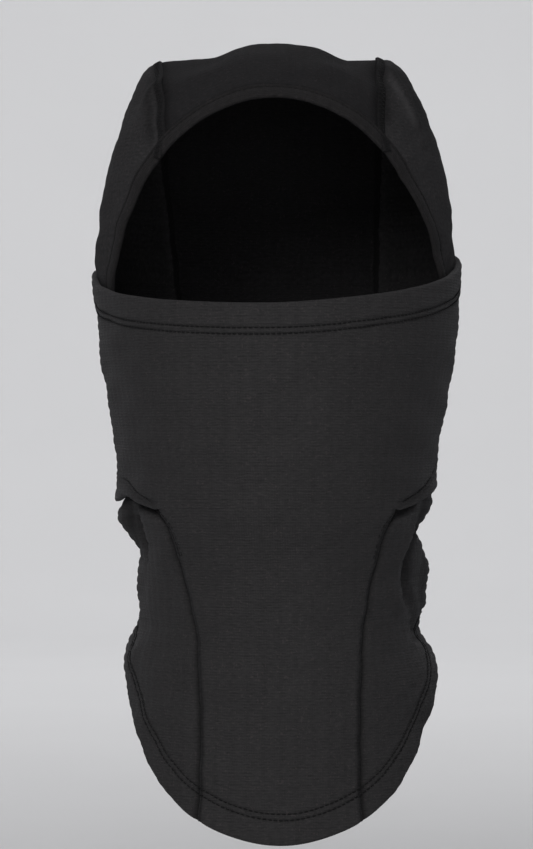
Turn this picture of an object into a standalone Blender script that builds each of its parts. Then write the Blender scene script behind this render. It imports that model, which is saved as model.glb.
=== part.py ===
"""A balaclava with a pull-down face mask, sewn from grid fleece.

The hood is a crown strip between two side panels. Below it are the bib, two neck sides and a neck back. The face
mask is the top of the bib's own cut: it wraps the face, and its wings are sewn to the hood behind the ears.
Metres, +Z up. The wearer faces -Y, and +X is the wearer's left. The origin is the centre of the wearer's head.
"""

import bpy
import numpy as np

CROWN_ROWS = 23

# Cloth and gaps.
FABRIC = 0.0016
HEM = 0.0032
HEM_TALL = 0.0125
GAP = 0.0003
BINDING_WIDE = 0.007
BINDING_THICK = 0.0024

# The head part of the hood, to the middle of the cloth.
HALF_WIDTH = 0.0785
TO_BROW = 0.0975
TO_BACK = 0.1040
TO_CROWN = 0.1020
DOME_POWER = 2.8
PLAN_POWER = 2.15

# Below the head's widest level: height, half width, depth in front, depth behind, and the ring's centre in Y.
HOOD_RINGS = (
    (-0.250, 0.0735, 0.1000, 0.0880, 0.008),
    (-0.210, 0.0718, 0.0960, 0.0800, 0.008),
    (-0.188, 0.0698, 0.0950, 0.0730, 0.008),
    (-0.174, 0.0680, 0.0945, 0.0690, 0.008),
    (-0.158, 0.0630, 0.0945, 0.0650, 0.008),
    (-0.140, 0.0622, 0.0950, 0.0640, 0.007),
    (-0.115, 0.0635, 0.0940, 0.0700, 0.006),
    (-0.090, 0.0662, 0.0930, 0.0810, 0.003),
    (-0.060, 0.0708, 0.0940, 0.0930, 0.001),
    (-0.030, 0.0755, 0.0965, 0.1015, 0.000),
    (0.000, HALF_WIDTH, TO_BROW, TO_BACK, 0.000),
)
# The mask, outside the hood: height, half width and depth in front.
MASK_RINGS = (
    (-0.125, 0.0685, 0.0950),
    (-0.107, 0.0698, 0.0972),
    (-0.097, 0.0702, 0.0990),
    (-0.084, 0.0706, 0.1015),
    (-0.070, 0.0726, 0.1040),
    (-0.054, 0.0754, 0.1060),
    (-0.035, 0.0785, 0.1072),
    (-0.020, 0.0800, 0.1075),
    (0.010, 0.0810, 0.1065),
)
MASK_JOINS_BIB = (-0.104, -0.140)
UNDER_WING = (-0.121, -0.1105)
NECK_LEAVES_BIB = np.radians(30)

# The face opening, seen from the front: an ellipse above its middle, and a round lead-in to the jaw corner below it.
OPENING_MIDDLE = -0.025
OPENING_HALF_WIDTH = 0.073
OPENING_RISE = 0.0995
JAW_X, JAW_Z = 0.046, -0.104

# The crown strip's half width on its way from the brow to the nape. It is level with the head's centre at 0.72.
CROWN_HALF_WIDTHS = ((0.0, 0.052), (0.45, 0.052), (0.75, 0.046), (1.0, 0.038))
LEVEL_STATION = 0.72
NAPE_Z = -0.109
JAW_AZIMUTH, NAPE_AZIMUTH = np.radians(62), np.radians(148)
SEAM_RISE = 0.0045
SEAM_RISE_INSIDE, SEAM_RISE_OUTSIDE = 0.010, 0.015

# The mask's edges by azimuth, and how far the mask sits higher on the wearer's left.
MASK_TOP_FRONT = -0.0118
MASK_TOP_RISE = 0.0150
MASK_TILT = 0.003
WING_EDGE = -0.108
WING_EDGE_REAR = -0.096
WING_REAR = np.radians(105.2)
WING_FRONT = np.radians(38)
BIB_TOP = -0.112
BIB_CORNER = np.radians((32, 36))

# The bib's half width by height, and the bottom edge's height by azimuth in degrees.
BIB_HALF_WIDTHS = (
    (-0.250, 0.0360),
    (-0.222, 0.0340),
    (-0.185, 0.0340),
    (-0.148, 0.0370),
    (-0.128, 0.0420),
    (-0.104, 0.0500),
)
BOTTOM_EDGE = (
    (0, -0.2445),
    (15, -0.2395),
    (28, -0.2280),
    (42, -0.2100),
    (56, -0.1915),
    (76, -0.1745),
    (97, -0.1645),
    (125, -0.1710),
    (155, -0.1940),
    (180, -0.2030),
)
NECK_SEAM = np.radians(97)
# The bib's seam slants, so its azimuth and height are found in turn, this many times.
SEAM_STEPS = 12

# Seams and stitches.
FLATLOCK_WIDE, FLATLOCK_THICK = 0.0040, 0.0022
FLATLOCK_LAP = FLATLOCK_WIDE / 2 + 0.0008
FLATLOCK_ENDS = (0.002, 0.003)
PLAIN_SEAM_WIDE, PLAIN_SEAM_THICK = 0.0016, 0.0024
PLAIN_SEAM_LAP = PLAIN_SEAM_WIDE / 2 + 2 * GAP
SEAM_SINK = 0.0006
THREAD = 0.0007
BINDING_ENDS = 0.40
BINDING_ROW = 0.0055
ROWS_UP = (0.0098, 0.0122)
STITCH_END = 0.02
REAR_SEAM_WIDE, REAR_SEAM_THICK = 0.003, 0.0026
LABEL_WIDE, LABEL_TALL, LABEL_THICK = 0.030, 0.022, 0.0006
LABEL_TOP = NAPE_Z - 0.003

CLOTH_COLOUR = (0.020, 0.0195, 0.0205)
BINDING_COLOUR = (0.022, 0.019, 0.019)
THREAD_COLOUR = (0.006, 0.006, 0.007)
LABEL_COLOUR = (0.55, 0.55, 0.54)


# ---------------------------------------------------------------- curves


def through(rows):
    """A smooth function through rows of (place, value, ...), held at its end values outside them."""
    table = np.array(rows, float)
    place, value = table[:, 0], table[:, 1:]
    slope = np.gradient(value, place, axis=0)

    def at(where):
        where = float(np.clip(where, place[0], place[-1]))
        i = int(np.clip(np.searchsorted(place, where) - 1, 0, len(place) - 2))
        span = place[i + 1] - place[i]
        t = (where - place[i]) / span
        return (
            value[i] * (2 * t**3 - 3 * t**2 + 1)
            + slope[i] * span * (t**3 - 2 * t**2 + t)
            + value[i + 1] * (3 * t**2 - 2 * t**3)
            + slope[i + 1] * span * (t**3 - t**2)
        )

    return at


def ease(value, start, end):
    """0 before start, 1 after end, and smooth between them. Start may be the higher of the two."""
    t = float(np.clip((value - start) / (end - start), 0, 1))
    return t * t * (3 - 2 * t)


hood_ring = through(HOOD_RINGS)
mask_ring = through(MASK_RINGS)
bib_half_width = through(BIB_HALF_WIDTHS)
bottom_edge = through(BOTTOM_EDGE)
crown_half_width = through(CROWN_HALF_WIDTHS)


# ---------------------------------------------------------------- surfaces


def plan_point(azimuth, half_width, front, back, centre):
    """A point of a ring seen from above. Azimuth is 0 at the front and positive on the wearer's left."""
    s, c = np.sin(azimuth), np.cos(azimuth)
    depth = front if c > 0 else back
    radius = ((abs(s) / half_width) ** PLAN_POWER + (abs(c) / depth) ** PLAN_POWER) ** (-1 / PLAN_POWER)
    return radius * s, centre - radius * c


def on_hood(azimuth, level):
    """A point of the hood or neck. Level is a height below 0, and above 0 it runs from 0 to TO_CROWN at the top."""
    if level <= 0:
        half_width, front, back, centre = hood_ring(level)
        x, y = plan_point(azimuth, half_width, front, back, centre)
        return np.array((x, y, level))
    lift = min(level / TO_CROWN, 1) * np.pi / 2
    shrink = np.cos(lift) ** (2 / DOME_POWER)
    x, y = plan_point(azimuth, HALF_WIDTH * shrink, TO_BROW * shrink, TO_BACK * shrink, 0)
    return np.array((x, y, TO_CROWN * np.sin(lift) ** (2 / DOME_POWER)))


def place_on_hood(point):
    """The azimuth and level whose point on the hood is nearest in direction to this one."""
    x, y, z = point
    if z <= 0:
        return np.arctan2(x, hood_ring(z)[3] - y), z
    lift = np.arcsin(min(z / TO_CROWN, 1) ** (DOME_POWER / 2))
    return np.arctan2(x, -y), TO_CROWN * lift / (np.pi / 2)


def on_mask(azimuth, z):
    """A point of the mask. Behind the widest place its wings run straight back."""
    half_width, front = mask_ring(z)
    if np.cos(azimuth) > 0:
        return np.array((*plan_point(azimuth, half_width, front, front, 0), z))
    side = np.sign(azimuth) * half_width
    return np.array((side, half_width * np.tan(abs(azimuth) - np.pi / 2), z))


def on_bib(azimuth, z):
    """A point of the bib, which leaves the mask's surface and joins the neck's."""
    part = ease(z, *MASK_JOINS_BIB)
    return on_mask(azimuth, z) * (1 - part) + on_hood(azimuth, z) * part


def bib_edge(z):
    """The azimuth of the bib's side seam at a height."""
    wanted = bib_half_width(z)[0]
    low, high = 0.0, np.pi / 2
    for _ in range(30):
        middle = (low + high) / 2
        low, high = (middle, high) if on_bib(middle, z)[0] < wanted else (low, middle)
    return low


def on_neck_side(azimuth, z):
    """A point of a neck side, which meets the bib at its seam and passes under the wing at its top."""
    behind = abs(azimuth) - bib_edge(z)
    part = max(ease(behind, 0, NECK_LEAVES_BIB), ease(z, *UNDER_WING))
    return on_bib(azimuth, z) * (1 - part) + on_hood(azimuth, z) * part


# ---------------------------------------------------------------- edges


def mask_top(azimuth):
    return MASK_TOP_FRONT + MASK_TOP_RISE * (1 - np.cos(azimuth)) ** 0.8 + MASK_TILT * np.sin(azimuth)


def wing_edge(azimuth):
    """The free lower edge of a wing."""
    back = (abs(azimuth) - WING_FRONT) / (WING_REAR - WING_FRONT)
    return WING_EDGE + (WING_EDGE_REAR - WING_EDGE) * back + MASK_TILT * np.sin(azimuth)


def bottom(azimuth):
    return bottom_edge(np.degrees(abs(azimuth)))[0]


def above_bottom(azimuth, distance):
    """The height on the cloth that is this far from the bottom edge, measured square to the edge."""
    step = np.radians(2)
    a, b = (on_hood(azimuth + s, bottom(azimuth + s)) for s in (-step, step))
    run = np.hypot(*(b - a)[:2])
    return bottom(azimuth) + distance * np.hypot(1, (b - a)[2] / run)


def opening(turn):
    """The face opening's edge. Turn is 0 at the brow, a quarter at its widest and a half at the jaw corner."""
    side = np.sign(turn) if turn else 1
    angle = abs(turn) * 2 * np.pi
    if angle <= np.pi / 2:
        x, z = OPENING_HALF_WIDTH * np.sin(angle), OPENING_MIDDLE + OPENING_RISE * np.cos(angle)
    else:
        x = JAW_X + (OPENING_HALF_WIDTH - JAW_X) * max(np.sin(angle), 0) ** 1.6
        z = OPENING_MIDDLE + (OPENING_MIDDLE - JAW_Z) * np.cos(angle)
    return front_of_hood(side * x, z)


def front_of_hood(x, z):
    """The hood's point in front of the head at this place in the front view."""
    half_width, front, _, centre = hood_ring(min(z, 0))
    shrink = (1 - max(z, 0) ** DOME_POWER / TO_CROWN**DOME_POWER) ** (1 / DOME_POWER)
    inside = max(shrink**PLAN_POWER - (abs(x) / half_width) ** PLAN_POWER, 0)
    return np.array((x, centre - front * inside ** (1 / PLAN_POWER), z))


def outward(point):
    """A rough outward direction, used to tell a surface's two sides apart."""
    return point - np.array((0, 0, min(point[2], 0)))


def beside_opening(turn, distance):
    """A point on the hood this far outside the face opening's edge."""
    step = 0.004
    here = opening(turn)
    along = opening(turn + step) - opening(turn - step)
    azimuth, level = place_on_hood(here)
    right = on_hood(azimuth + 0.01, level) - on_hood(azimuth - 0.01, level)
    up = on_hood(azimuth, level + 0.001) - on_hood(azimuth, level - 0.001)
    normal = np.cross(right, up)
    away = np.cross(along, normal)
    away /= np.linalg.norm(away)
    if away @ (here - np.array((0, here[1], OPENING_MIDDLE))) < 0:
        away = -away
    return on_hood(*place_on_hood(here + away * distance))


# ---------------------------------------------------------------- solids


def material(name, colour, roughness):
    made = bpy.data.materials.new(name)
    made.use_nodes = True
    shader = made.node_tree.nodes["Principled BSDF"]
    shader.inputs["Base Color"].default_value = (*colour, 1)
    shader.inputs["Roughness"].default_value = roughness
    shader.inputs["Metallic"].default_value = 0
    return made


def add_object(name, vertices, faces, finish):
    mesh = bpy.data.meshes.new(name)
    mesh.from_pydata([tuple(map(float, v)) for v in vertices], [], faces)
    mesh.update()
    mesh.shade_smooth()
    mesh.set_sharp_from_angle(angle=np.radians(40))
    mesh.materials.append(finish)
    made = bpy.data.objects.new(name, mesh)
    bpy.context.scene.collection.objects.link(made)
    return made


def inset_edges(grid, amounts):
    """The grid with each edge moved in, by (first row, last row, first column, last column)."""
    grid = grid.copy()
    for axis, (edge, inner), amount in (
        (0, (0, 1), amounts[0]),
        (0, (-1, -2), amounts[1]),
        (1, (0, 1), amounts[2]),
        (1, (-1, -2), amounts[3]),
    ):
        rows = grid if axis == 0 else grid.swapaxes(0, 1)
        inward = rows[inner] - rows[edge]
        rows[edge] += inward / np.maximum(np.linalg.norm(inward, axis=1, keepdims=True), 1e-9) * amount
    return grid


def normals_of(grid):
    """Unit normals that point away from the head, one for each grid point."""
    normals = np.cross(np.gradient(grid, axis=0), np.gradient(grid, axis=1))
    normals /= np.linalg.norm(normals, axis=2, keepdims=True)
    middle = tuple(n // 2 for n in grid.shape[:2])
    return normals if normals[middle] @ outward(grid[middle]) > 0 else -normals


def cloth(name, grid, finish, thick=FABRIC, stand=0.0, inset=(GAP, GAP, GAP, GAP)):
    """A closed sheet of cloth over a grid of points. Stand moves it outwards."""
    grid = inset_edges(np.array(grid, float), inset)
    normals = normals_of(grid)
    rows, columns = grid.shape[:2]
    outer = (grid + normals * (stand + thick / 2)).reshape(-1, 3)
    inner = (grid + normals * (stand - thick / 2)).reshape(-1, 3)
    count = rows * columns
    faces = []
    for i in range(rows - 1):
        for j in range(columns - 1):
            a, b = i * columns + j, i * columns + j + 1
            c, d = b + columns, a + columns
            faces += [(a, b, c, d), (d + count, c + count, b + count, a + count)]
    rim = (
        [(0, j) for j in range(columns - 1)]
        + [(i, columns - 1) for i in range(rows - 1)]
        + [(rows - 1, j) for j in range(columns - 1, 0, -1)]
        + [(i, 0) for i in range(rows - 1, 0, -1)]
    )
    for (i, j), (k, m) in zip(rim, rim[1:] + rim[:1]):
        a, b = i * columns + j, k * columns + m
        faces.append((b, a, a + count, b + count))
    facing = np.cross(grid[0, 1] - grid[0, 0], grid[1, 0] - grid[0, 0]) @ normals[0, 0]
    if facing < 0:
        faces = [f[::-1] for f in faces]
    return add_object(name, np.vstack((outer, inner)), faces, finish)


def trimmed(path, start, end):
    """The path with its ends moved in by these distances."""
    path = np.array(path, float)
    first, last = path[1] - path[0], path[-2] - path[-1]
    path[0] += first / np.linalg.norm(first) * start
    path[-1] += last / np.linalg.norm(last) * end
    return path


def strip(name, path, finish, wide, thick, stand=0.0):
    """A bar of rectangular section that lies on the cloth along a path of points."""
    path = np.array(path, float)
    along = np.gradient(path, axis=0)
    along /= np.linalg.norm(along, axis=1, keepdims=True)
    away = np.array([surface_normal(p) for p in path])
    away -= along * (away * along).sum(axis=1, keepdims=True)
    away /= np.linalg.norm(away, axis=1, keepdims=True)
    across = np.cross(along, away)
    corners = [
        path + away * (stand + thick / 2 * up) + across * (wide / 2 * side)
        for up, side in ((1, -1), (1, 1), (-1, 1), (-1, -1))
    ]
    vertices = np.stack(corners, axis=1).reshape(-1, 3)
    faces = [(3, 2, 1, 0)]
    for i in range(len(path) - 1):
        for k in range(4):
            a, b = 4 * i + k, 4 * i + (k + 1) % 4
            faces.append((a, b, b + 4, a + 4))
    last = 4 * (len(path) - 1)
    faces.append((last, last + 1, last + 2, last + 3))
    return add_object(name, vertices, faces, finish)


def surface_normal(point):
    """The hood's outward normal at the place nearest this point."""
    azimuth, level = place_on_hood(point)
    right = on_hood(azimuth + 0.01, level) - on_hood(azimuth - 0.01, level)
    up = on_hood(azimuth, level + 0.001) - on_hood(azimuth, level - 0.001)
    normal = np.cross(right, up)
    return normal / np.linalg.norm(normal)


def grid_of(surface, low, high, azimuths, rows):
    """Points of a surface between two edges, each a height by azimuth."""
    return [
        [surface(a, low(a) + (high(a) - low(a)) * t) for a in azimuths]
        for t in np.linspace(0, 1, rows)
    ]


# ---------------------------------------------------------------- the hood


def seam_ridge(point, station):
    """How far the hood stands out beside a crown seam, most at the top of the head."""
    off = abs(point[0]) - crown_half_width(station)[0]
    spread = SEAM_RISE_INSIDE if off < 0 else SEAM_RISE_OUTSIDE
    return SEAM_RISE * np.exp(-((off / spread) ** 2)) * np.sin(np.pi * min(station / 0.8, 1)) ** 2


def crown_point(side, station, edge_x, edge_z):
    """A point of the crown strip: side runs from -1 to 1, and station from the brow at 0 to the nape at 1."""
    x = side * crown_half_width(station)[0]
    top = TO_CROWN * (1 - (abs(x) / HALF_WIDTH) ** DOME_POWER) ** (1 / DOME_POWER)
    start = np.arcsin((np.interp(abs(x), edge_x, edge_z) / top) ** (DOME_POWER / 2))
    if station < LEVEL_STATION:
        angle = start + (np.pi - start) * station / LEVEL_STATION
        z = top * max(np.sin(angle), 0) ** (2 / DOME_POWER)
        shrink = (1 - (z / TO_CROWN) ** DOME_POWER) ** (1 / DOME_POWER)
        inside = max(shrink**PLAN_POWER - (abs(x) / HALF_WIDTH) ** PLAN_POWER, 0) ** (1 / PLAN_POWER)
        y = -TO_BROW * inside if angle < np.pi / 2 else TO_BACK * inside
    else:
        z = NAPE_Z * (station - LEVEL_STATION) / (1 - LEVEL_STATION)
        half_width, _, back, centre = hood_ring(z)
        y = centre + back * (1 - (abs(x) / half_width) ** PLAN_POWER) ** (1 / PLAN_POWER)
    point = np.array((x, y, z))
    away = outward(point)
    return point + away / np.linalg.norm(away) * seam_ridge(point, station)


def make_hood(fleece, tape, thread):
    turns = np.linspace(0, 0.5, 61)
    edge = np.array([beside_opening(t, BINDING_WIDE) for t in turns])
    above = edge[:, 2] > 0
    edge_x, edge_z = edge[above, 0], edge[above, 2]
    brow_turn = np.interp(CROWN_HALF_WIDTHS[0][1], edge_x, turns[above])

    stations = np.linspace(0, 1, CROWN_ROWS) ** 1.3
    lap = FLATLOCK_LAP / CROWN_HALF_WIDTHS[0][1]
    sides = np.linspace(lap - 1, 1 - lap, 9)
    crown = [[crown_point(s, u, edge_x, edge_z) for s in sides] for u in stations]
    cloth("crown_panel", crown, fleece, inset=(GAP, PLAIN_SEAM_LAP, 0, 0))

    for side, name in ((-1, "right"), (1, "left")):
        seam = np.array([crown_point(side, u, edge_x, edge_z) for u in stations])
        strip(f"crown_seam_{name}", trimmed(seam, *FLATLOCK_ENDS), thread, FLATLOCK_WIDE, FLATLOCK_THICK)
        top = beyond(seam, side * FLATLOCK_LAP)
        front = [
            beside_opening(side * t, BINDING_WIDE + GAP) for t in np.linspace(brow_turn, BINDING_ENDS, CROWN_ROWS)
        ]
        front[-1] = on_hood(side * JAW_AZIMUTH, JAW_Z + PLAIN_SEAM_LAP)
        top[-1] = on_hood(place_on_hood(top[-1])[0], NAPE_Z + PLAIN_SEAM_LAP)
        panel = [side_row(a, b) for a, b in zip(front[1:], top[1:])]
        cloth(f"hood_side_{name}", panel, fleece, inset=(0, 0, 0, 0))

    ends = np.linspace(-BINDING_ENDS, BINDING_ENDS, 53)
    binding = [
        [beside_opening(t, wide) if wide else opening(t) for t in ends]
        for wide in (0, BINDING_WIDE / 2, BINDING_WIDE)
    ]
    cloth("face_binding", binding, tape, thick=BINDING_THICK, inset=(0, GAP, 0, 0))
    row = [beside_opening(t, BINDING_ROW) for t in ends[1:-1]]
    strip("face_binding_stitching", row, thread, THREAD, THREAD, stand=BINDING_THICK / 2 + GAP + THREAD / 2)


def beyond(path, distance):
    """The path moved sideways over the cloth, to the wearer's left where distance is positive."""
    along = np.gradient(path, axis=0)
    across = np.cross(along, [surface_normal(p) for p in path])
    across /= np.linalg.norm(across, axis=1, keepdims=True)
    across *= np.sign(across[len(path) // 2, 0])
    return path + across * distance


def side_row(front, top):
    """A row of a side panel, from the face opening to the crown seam, which stands out from the head."""
    start, end = np.array(place_on_hood(front)), np.array(place_on_hood(top))
    lift = top - on_hood(*end)
    steps = np.linspace(0, 1, 9)
    return [on_hood(*(start + (end - start) * t)) + lift * ease(t, 0.2, 1.0) for t in steps]


# ---------------------------------------------------------------- the neck


def nape_line(azimuth):
    """The height of the seam between the hood and the neck."""
    return np.interp(abs(azimuth), (JAW_AZIMUTH, NAPE_AZIMUTH), (JAW_Z, NAPE_Z))


def make_neck(fleece, thread):
    half_seam = PLAIN_SEAM_LAP

    def hem_line(azimuth):
        return above_bottom(azimuth, HEM_TALL)

    bib = []
    for t in np.linspace(0, 1, 15):
        row = []
        for s in np.linspace(-1, 1, 13):
            z = BIB_TOP
            for _ in range(SEAM_STEPS):
                azimuth = s * bib_edge(z)
                z = hem_line(azimuth) + (BIB_TOP - hem_line(azimuth)) * t
            row.append(on_bib(azimuth, z))
        bib.append(row)
    cloth("bib_panel", bib, fleece, inset=(GAP, GAP, half_seam, half_seam))

    seam_heights = np.linspace(0, 1, 17)
    for side, name in ((-1, "right"), (1, "left")):
        panel, bib_seam = [], []
        for t in seam_heights:
            row = []
            for across in np.linspace(0, 1, 9):
                z = BIB_TOP
                for _ in range(SEAM_STEPS):
                    azimuth = side * (bib_edge(z) * (1 - across) + NECK_SEAM * across)
                    z = hem_line(azimuth) + (nape_line(azimuth) - hem_line(azimuth)) * t
                row.append(on_neck_side(azimuth, z))
            panel.append(row)
            bib_seam.append(row[0])
        cloth(f"neck_side_{name}", panel, fleece, inset=(GAP, half_seam, half_seam, half_seam))
        bib_seam = trimmed([p for p in bib_seam if p[2] < BIB_TOP], 0.0015, 0)
        strip(f"bib_seam_{name}", bib_seam, thread, PLAIN_SEAM_WIDE, PLAIN_SEAM_THICK, stand=-SEAM_SINK)
        neck_seam = [
            on_hood(side * NECK_SEAM, z)
            for z in np.linspace(hem_line(NECK_SEAM) + GAP, nape_line(NECK_SEAM) - half_seam - GAP, 9)
        ]
        strip(f"neck_seam_{name}", neck_seam, thread, PLAIN_SEAM_WIDE, PLAIN_SEAM_THICK, stand=-SEAM_SINK)

    behind = np.linspace(NECK_SEAM, 2 * np.pi - NECK_SEAM, 21)
    around = [a if a <= np.pi else a - 2 * np.pi for a in behind]
    back = grid_of(on_hood, hem_line, nape_line, around, 9)
    cloth("neck_back", back, fleece, inset=(GAP, half_seam, half_seam, half_seam))
    around = [a if a <= np.pi else a - 2 * np.pi for a in np.linspace(JAW_AZIMUTH, 2 * np.pi - JAW_AZIMUTH, 37)]
    strip(
        "nape_seam",
        [on_neck_side(a, nape_line(a)) if abs(a) < NECK_SEAM else on_hood(a, nape_line(a)) for a in around],
        thread,
        PLAIN_SEAM_WIDE,
        PLAIN_SEAM_THICK,
        stand=-SEAM_SINK,
    )
    make_bottom_hem(fleece, thread)


def make_bottom_hem(fleece, thread):
    bib_corner = bib_edge(-0.225)
    parts = (
        ("bottom_hem_bib", -bib_corner, bib_corner, 13),
        ("bottom_hem_neck_left", bib_corner, NECK_SEAM, 15),
        ("bottom_hem_neck_right", -NECK_SEAM, -bib_corner, 15),
        ("bottom_hem_back", NECK_SEAM, 2 * np.pi - NECK_SEAM, 23),
    )
    for name, start, end, count in parts:
        around = [a if a <= np.pi else a - 2 * np.pi for a in np.linspace(start, end, count)]
        grid = grid_of(on_hood, bottom, lambda a: above_bottom(a, HEM_TALL), around, 3)
        cloth(name, grid, fleece, thick=HEM, inset=(0, GAP, GAP / 2, GAP / 2))
    for up, name in zip(ROWS_UP, ("lower", "upper")):
        around = np.linspace(STITCH_END - np.pi, np.pi - STITCH_END, 57)
        row = [on_hood(a, above_bottom(a, up)) for a in around]
        strip(f"bottom_stitching_{name}", row, thread, THREAD, THREAD, stand=HEM / 2 + GAP + THREAD / 2)


# ---------------------------------------------------------------- the mask


def make_mask(fleece, thread):
    def under_hem(azimuth):
        return mask_top(azimuth) - HEM_TALL

    def over_edge(azimuth):
        """The panel's lower edge: the bib's top in front, and the top of a wing's hem at the sides."""
        wing = ease(abs(azimuth), *BIB_CORNER)
        return BIB_TOP * (1 - wing) + (wing_edge(azimuth) + HEM_TALL) * wing

    half = np.radians((0, 7, 14, 21, 28, 32, 36, 37.5, 41, 46, 51, 57, 63, 69, 75, 81, 87, 93, 99, 105.2))
    around = np.concatenate((-half[:0:-1], half))
    cloth("mask_panel", grid_of(on_mask, over_edge, under_hem, around, 8), fleece)
    around = np.linspace(-WING_REAR, WING_REAR, 43)
    top = grid_of(on_mask, under_hem, mask_top, around, 3)
    cloth("mask_top_hem", top, fleece, thick=HEM, stand=FABRIC / 2, inset=(0, 0, GAP, GAP))
    for up, name in zip(ROWS_UP, ("upper", "lower")):
        around_row = np.linspace(STITCH_END - WING_REAR, WING_REAR - STITCH_END, 43)
        row = [on_mask(a, mask_top(a) - up) for a in around_row]
        mask_strip(f"mask_top_stitching_{name}", row, thread)

    for side, name in ((-1, "right"), (1, "left")):
        around = side * np.linspace(WING_FRONT, WING_REAR, 15)
        hem = grid_of(on_mask, wing_edge, lambda a: wing_edge(a) + HEM_TALL, around, 3)
        cloth(f"wing_hem_{name}", hem, fleece, thick=HEM, stand=FABRIC / 2, inset=(0, GAP, GAP, GAP))
        for up, place in zip(ROWS_UP, ("lower", "upper")):
            rows = side * np.linspace(WING_FRONT + STITCH_END, WING_REAR - STITCH_END, 17)
            row = [on_mask(a, wing_edge(a) + up) for a in rows]
            mask_strip(f"wing_stitching_{name}_{place}", row, thread)


def mask_strip(name, row, thread):
    """A row of stitches on a mask hem."""
    strip(name, row, thread, THREAD, THREAD, stand=HEM / 2 + FABRIC / 2 + GAP + THREAD)


def make_rear_seams(thread):
    """The seams that hold the wings to the hood, behind the ears."""
    for side, name in ((-1, "right"), (1, "left")):
        azimuth = side * WING_REAR
        path = []
        for z in np.linspace(wing_edge(azimuth), mask_top(azimuth), 9):
            point = on_mask(azimuth, z)
            path.append(point + np.array((-side * SEAM_SINK, REAR_SEAM_WIDE / 2 + GAP, 0)))
        strip(f"wing_seam_{name}", path, thread, REAR_SEAM_WIDE, REAR_SEAM_THICK)


def make_label(paper):
    """A plain care label that hangs inside the nape."""
    drop = np.linspace(LABEL_TOP, LABEL_TOP - LABEL_TALL, 4)
    width = np.linspace(-LABEL_WIDE / 2, LABEL_WIDE / 2, 5)
    grid = []
    for z in drop:
        half_width, _, back, centre = hood_ring(z)
        depth = back - FABRIC / 2 - 2 * GAP - LABEL_THICK
        row = []
        for x in width:
            y = centre + depth * (1 - (abs(x) / half_width) ** PLAN_POWER) ** (1 / PLAN_POWER)
            row.append(np.array((x, y, z)))
        grid.append(row)
    cloth("care_label", grid, paper, thick=LABEL_THICK, inset=(0, 0, 0, 0))


def main():
    for thing in list(bpy.data.objects):
        bpy.data.objects.remove(thing)
    fleece = material("grid_fleece", CLOTH_COLOUR, 0.9)
    tape = material("binding", BINDING_COLOUR, 0.85)
    thread = material("thread", THREAD_COLOUR, 0.6)
    paper = material("label", LABEL_COLOUR, 0.7)
    make_hood(fleece, tape, thread)
    make_neck(fleece, thread)
    make_mask(fleece, thread)
    make_rear_seams(thread)
    make_label(paper)


main()
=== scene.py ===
"""The looks of the balaclava: cloth, seams, stitches, studio and camera. In metres, unless a comment says so."""

import bpy
import numpy as np
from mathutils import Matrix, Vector


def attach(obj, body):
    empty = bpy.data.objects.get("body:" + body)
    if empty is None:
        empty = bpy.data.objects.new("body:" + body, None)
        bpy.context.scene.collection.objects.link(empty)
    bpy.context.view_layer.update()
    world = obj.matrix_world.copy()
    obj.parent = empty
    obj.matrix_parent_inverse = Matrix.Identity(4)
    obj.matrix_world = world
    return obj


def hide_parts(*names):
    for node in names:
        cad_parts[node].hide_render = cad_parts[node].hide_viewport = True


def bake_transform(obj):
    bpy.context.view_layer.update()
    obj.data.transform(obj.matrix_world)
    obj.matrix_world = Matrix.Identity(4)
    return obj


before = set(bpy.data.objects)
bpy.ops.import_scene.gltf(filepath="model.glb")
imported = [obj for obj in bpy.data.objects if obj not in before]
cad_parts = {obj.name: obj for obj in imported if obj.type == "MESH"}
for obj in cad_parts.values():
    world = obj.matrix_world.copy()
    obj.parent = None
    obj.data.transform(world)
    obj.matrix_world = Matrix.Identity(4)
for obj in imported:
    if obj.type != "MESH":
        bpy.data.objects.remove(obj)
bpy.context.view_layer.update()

# Mesh spacing on the cloth, across and along it.
ACROSS, ALONG = ((0.0015, 0.0009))

SIDES = ((-1, "right"), (1, "left"))

# Cloth: its thickness, a hem's, and the part of the hem's extra thickness that shows outside.
FABRIC = 0.0016
HEM, HEM_OUTSIDE = 0.0030, 0.3
HEM_TALL = 0.0137
# A hem's two rows of stitches: how far up, how deep and wide they press in, and the face that they lie on.
ROWS_UP = (0.0107, 0.0133)
ROW_DEEP, ROW_WIDE = 0.0006, 0.0007
HEM_FACE = FABRIC / 2 + (HEM - FABRIC) * HEM_OUTSIDE - 0.00030
STITCH, STITCH_LONG = 0.0024, 0.00185
THREAD = 0.00048
WING_THREAD = 0.00030
# The grid knit's cells, and its fine lines along and across.
GRID_ROW, GRID_COLUMN = 0.0039, 0.0062
COURSE, WALE = 0.00122, 0.00095
# How deep and wide the cloth sinks beside a flat seam, and how much painted shade it has there.
FLAT_SEAM_DIP = (0.0004, 0.0026, 0.55)
FLAT_SEAM_WIDE = 0.0050
# A seam joins cloth this far from its middle.
SEAM_HALF = 0.0011

# Metres to a radian, to lay out cloth round the head.
ROUND_MASK, ROUND_FRONT, ROUND_BIB = 0.083, 0.084, 0.09
ROUND_NECK, ROUND_NECK_SEAM, ROUND_HOOD, ROUND_HEAD = 0.078, 0.075, 0.085, 0.08
# The distance given to cloth that an edge or seam doesn't reach.
FAR = 1.0

# The head part of the hood, to the middle of the cloth.
HALF_WIDTH = 0.0785
TO_BROW = 0.0975
TO_BACK = 0.1040
TO_CROWN = 0.1020
DOME_POWER = 2.8
PLAN_POWER = 2.15

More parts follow.
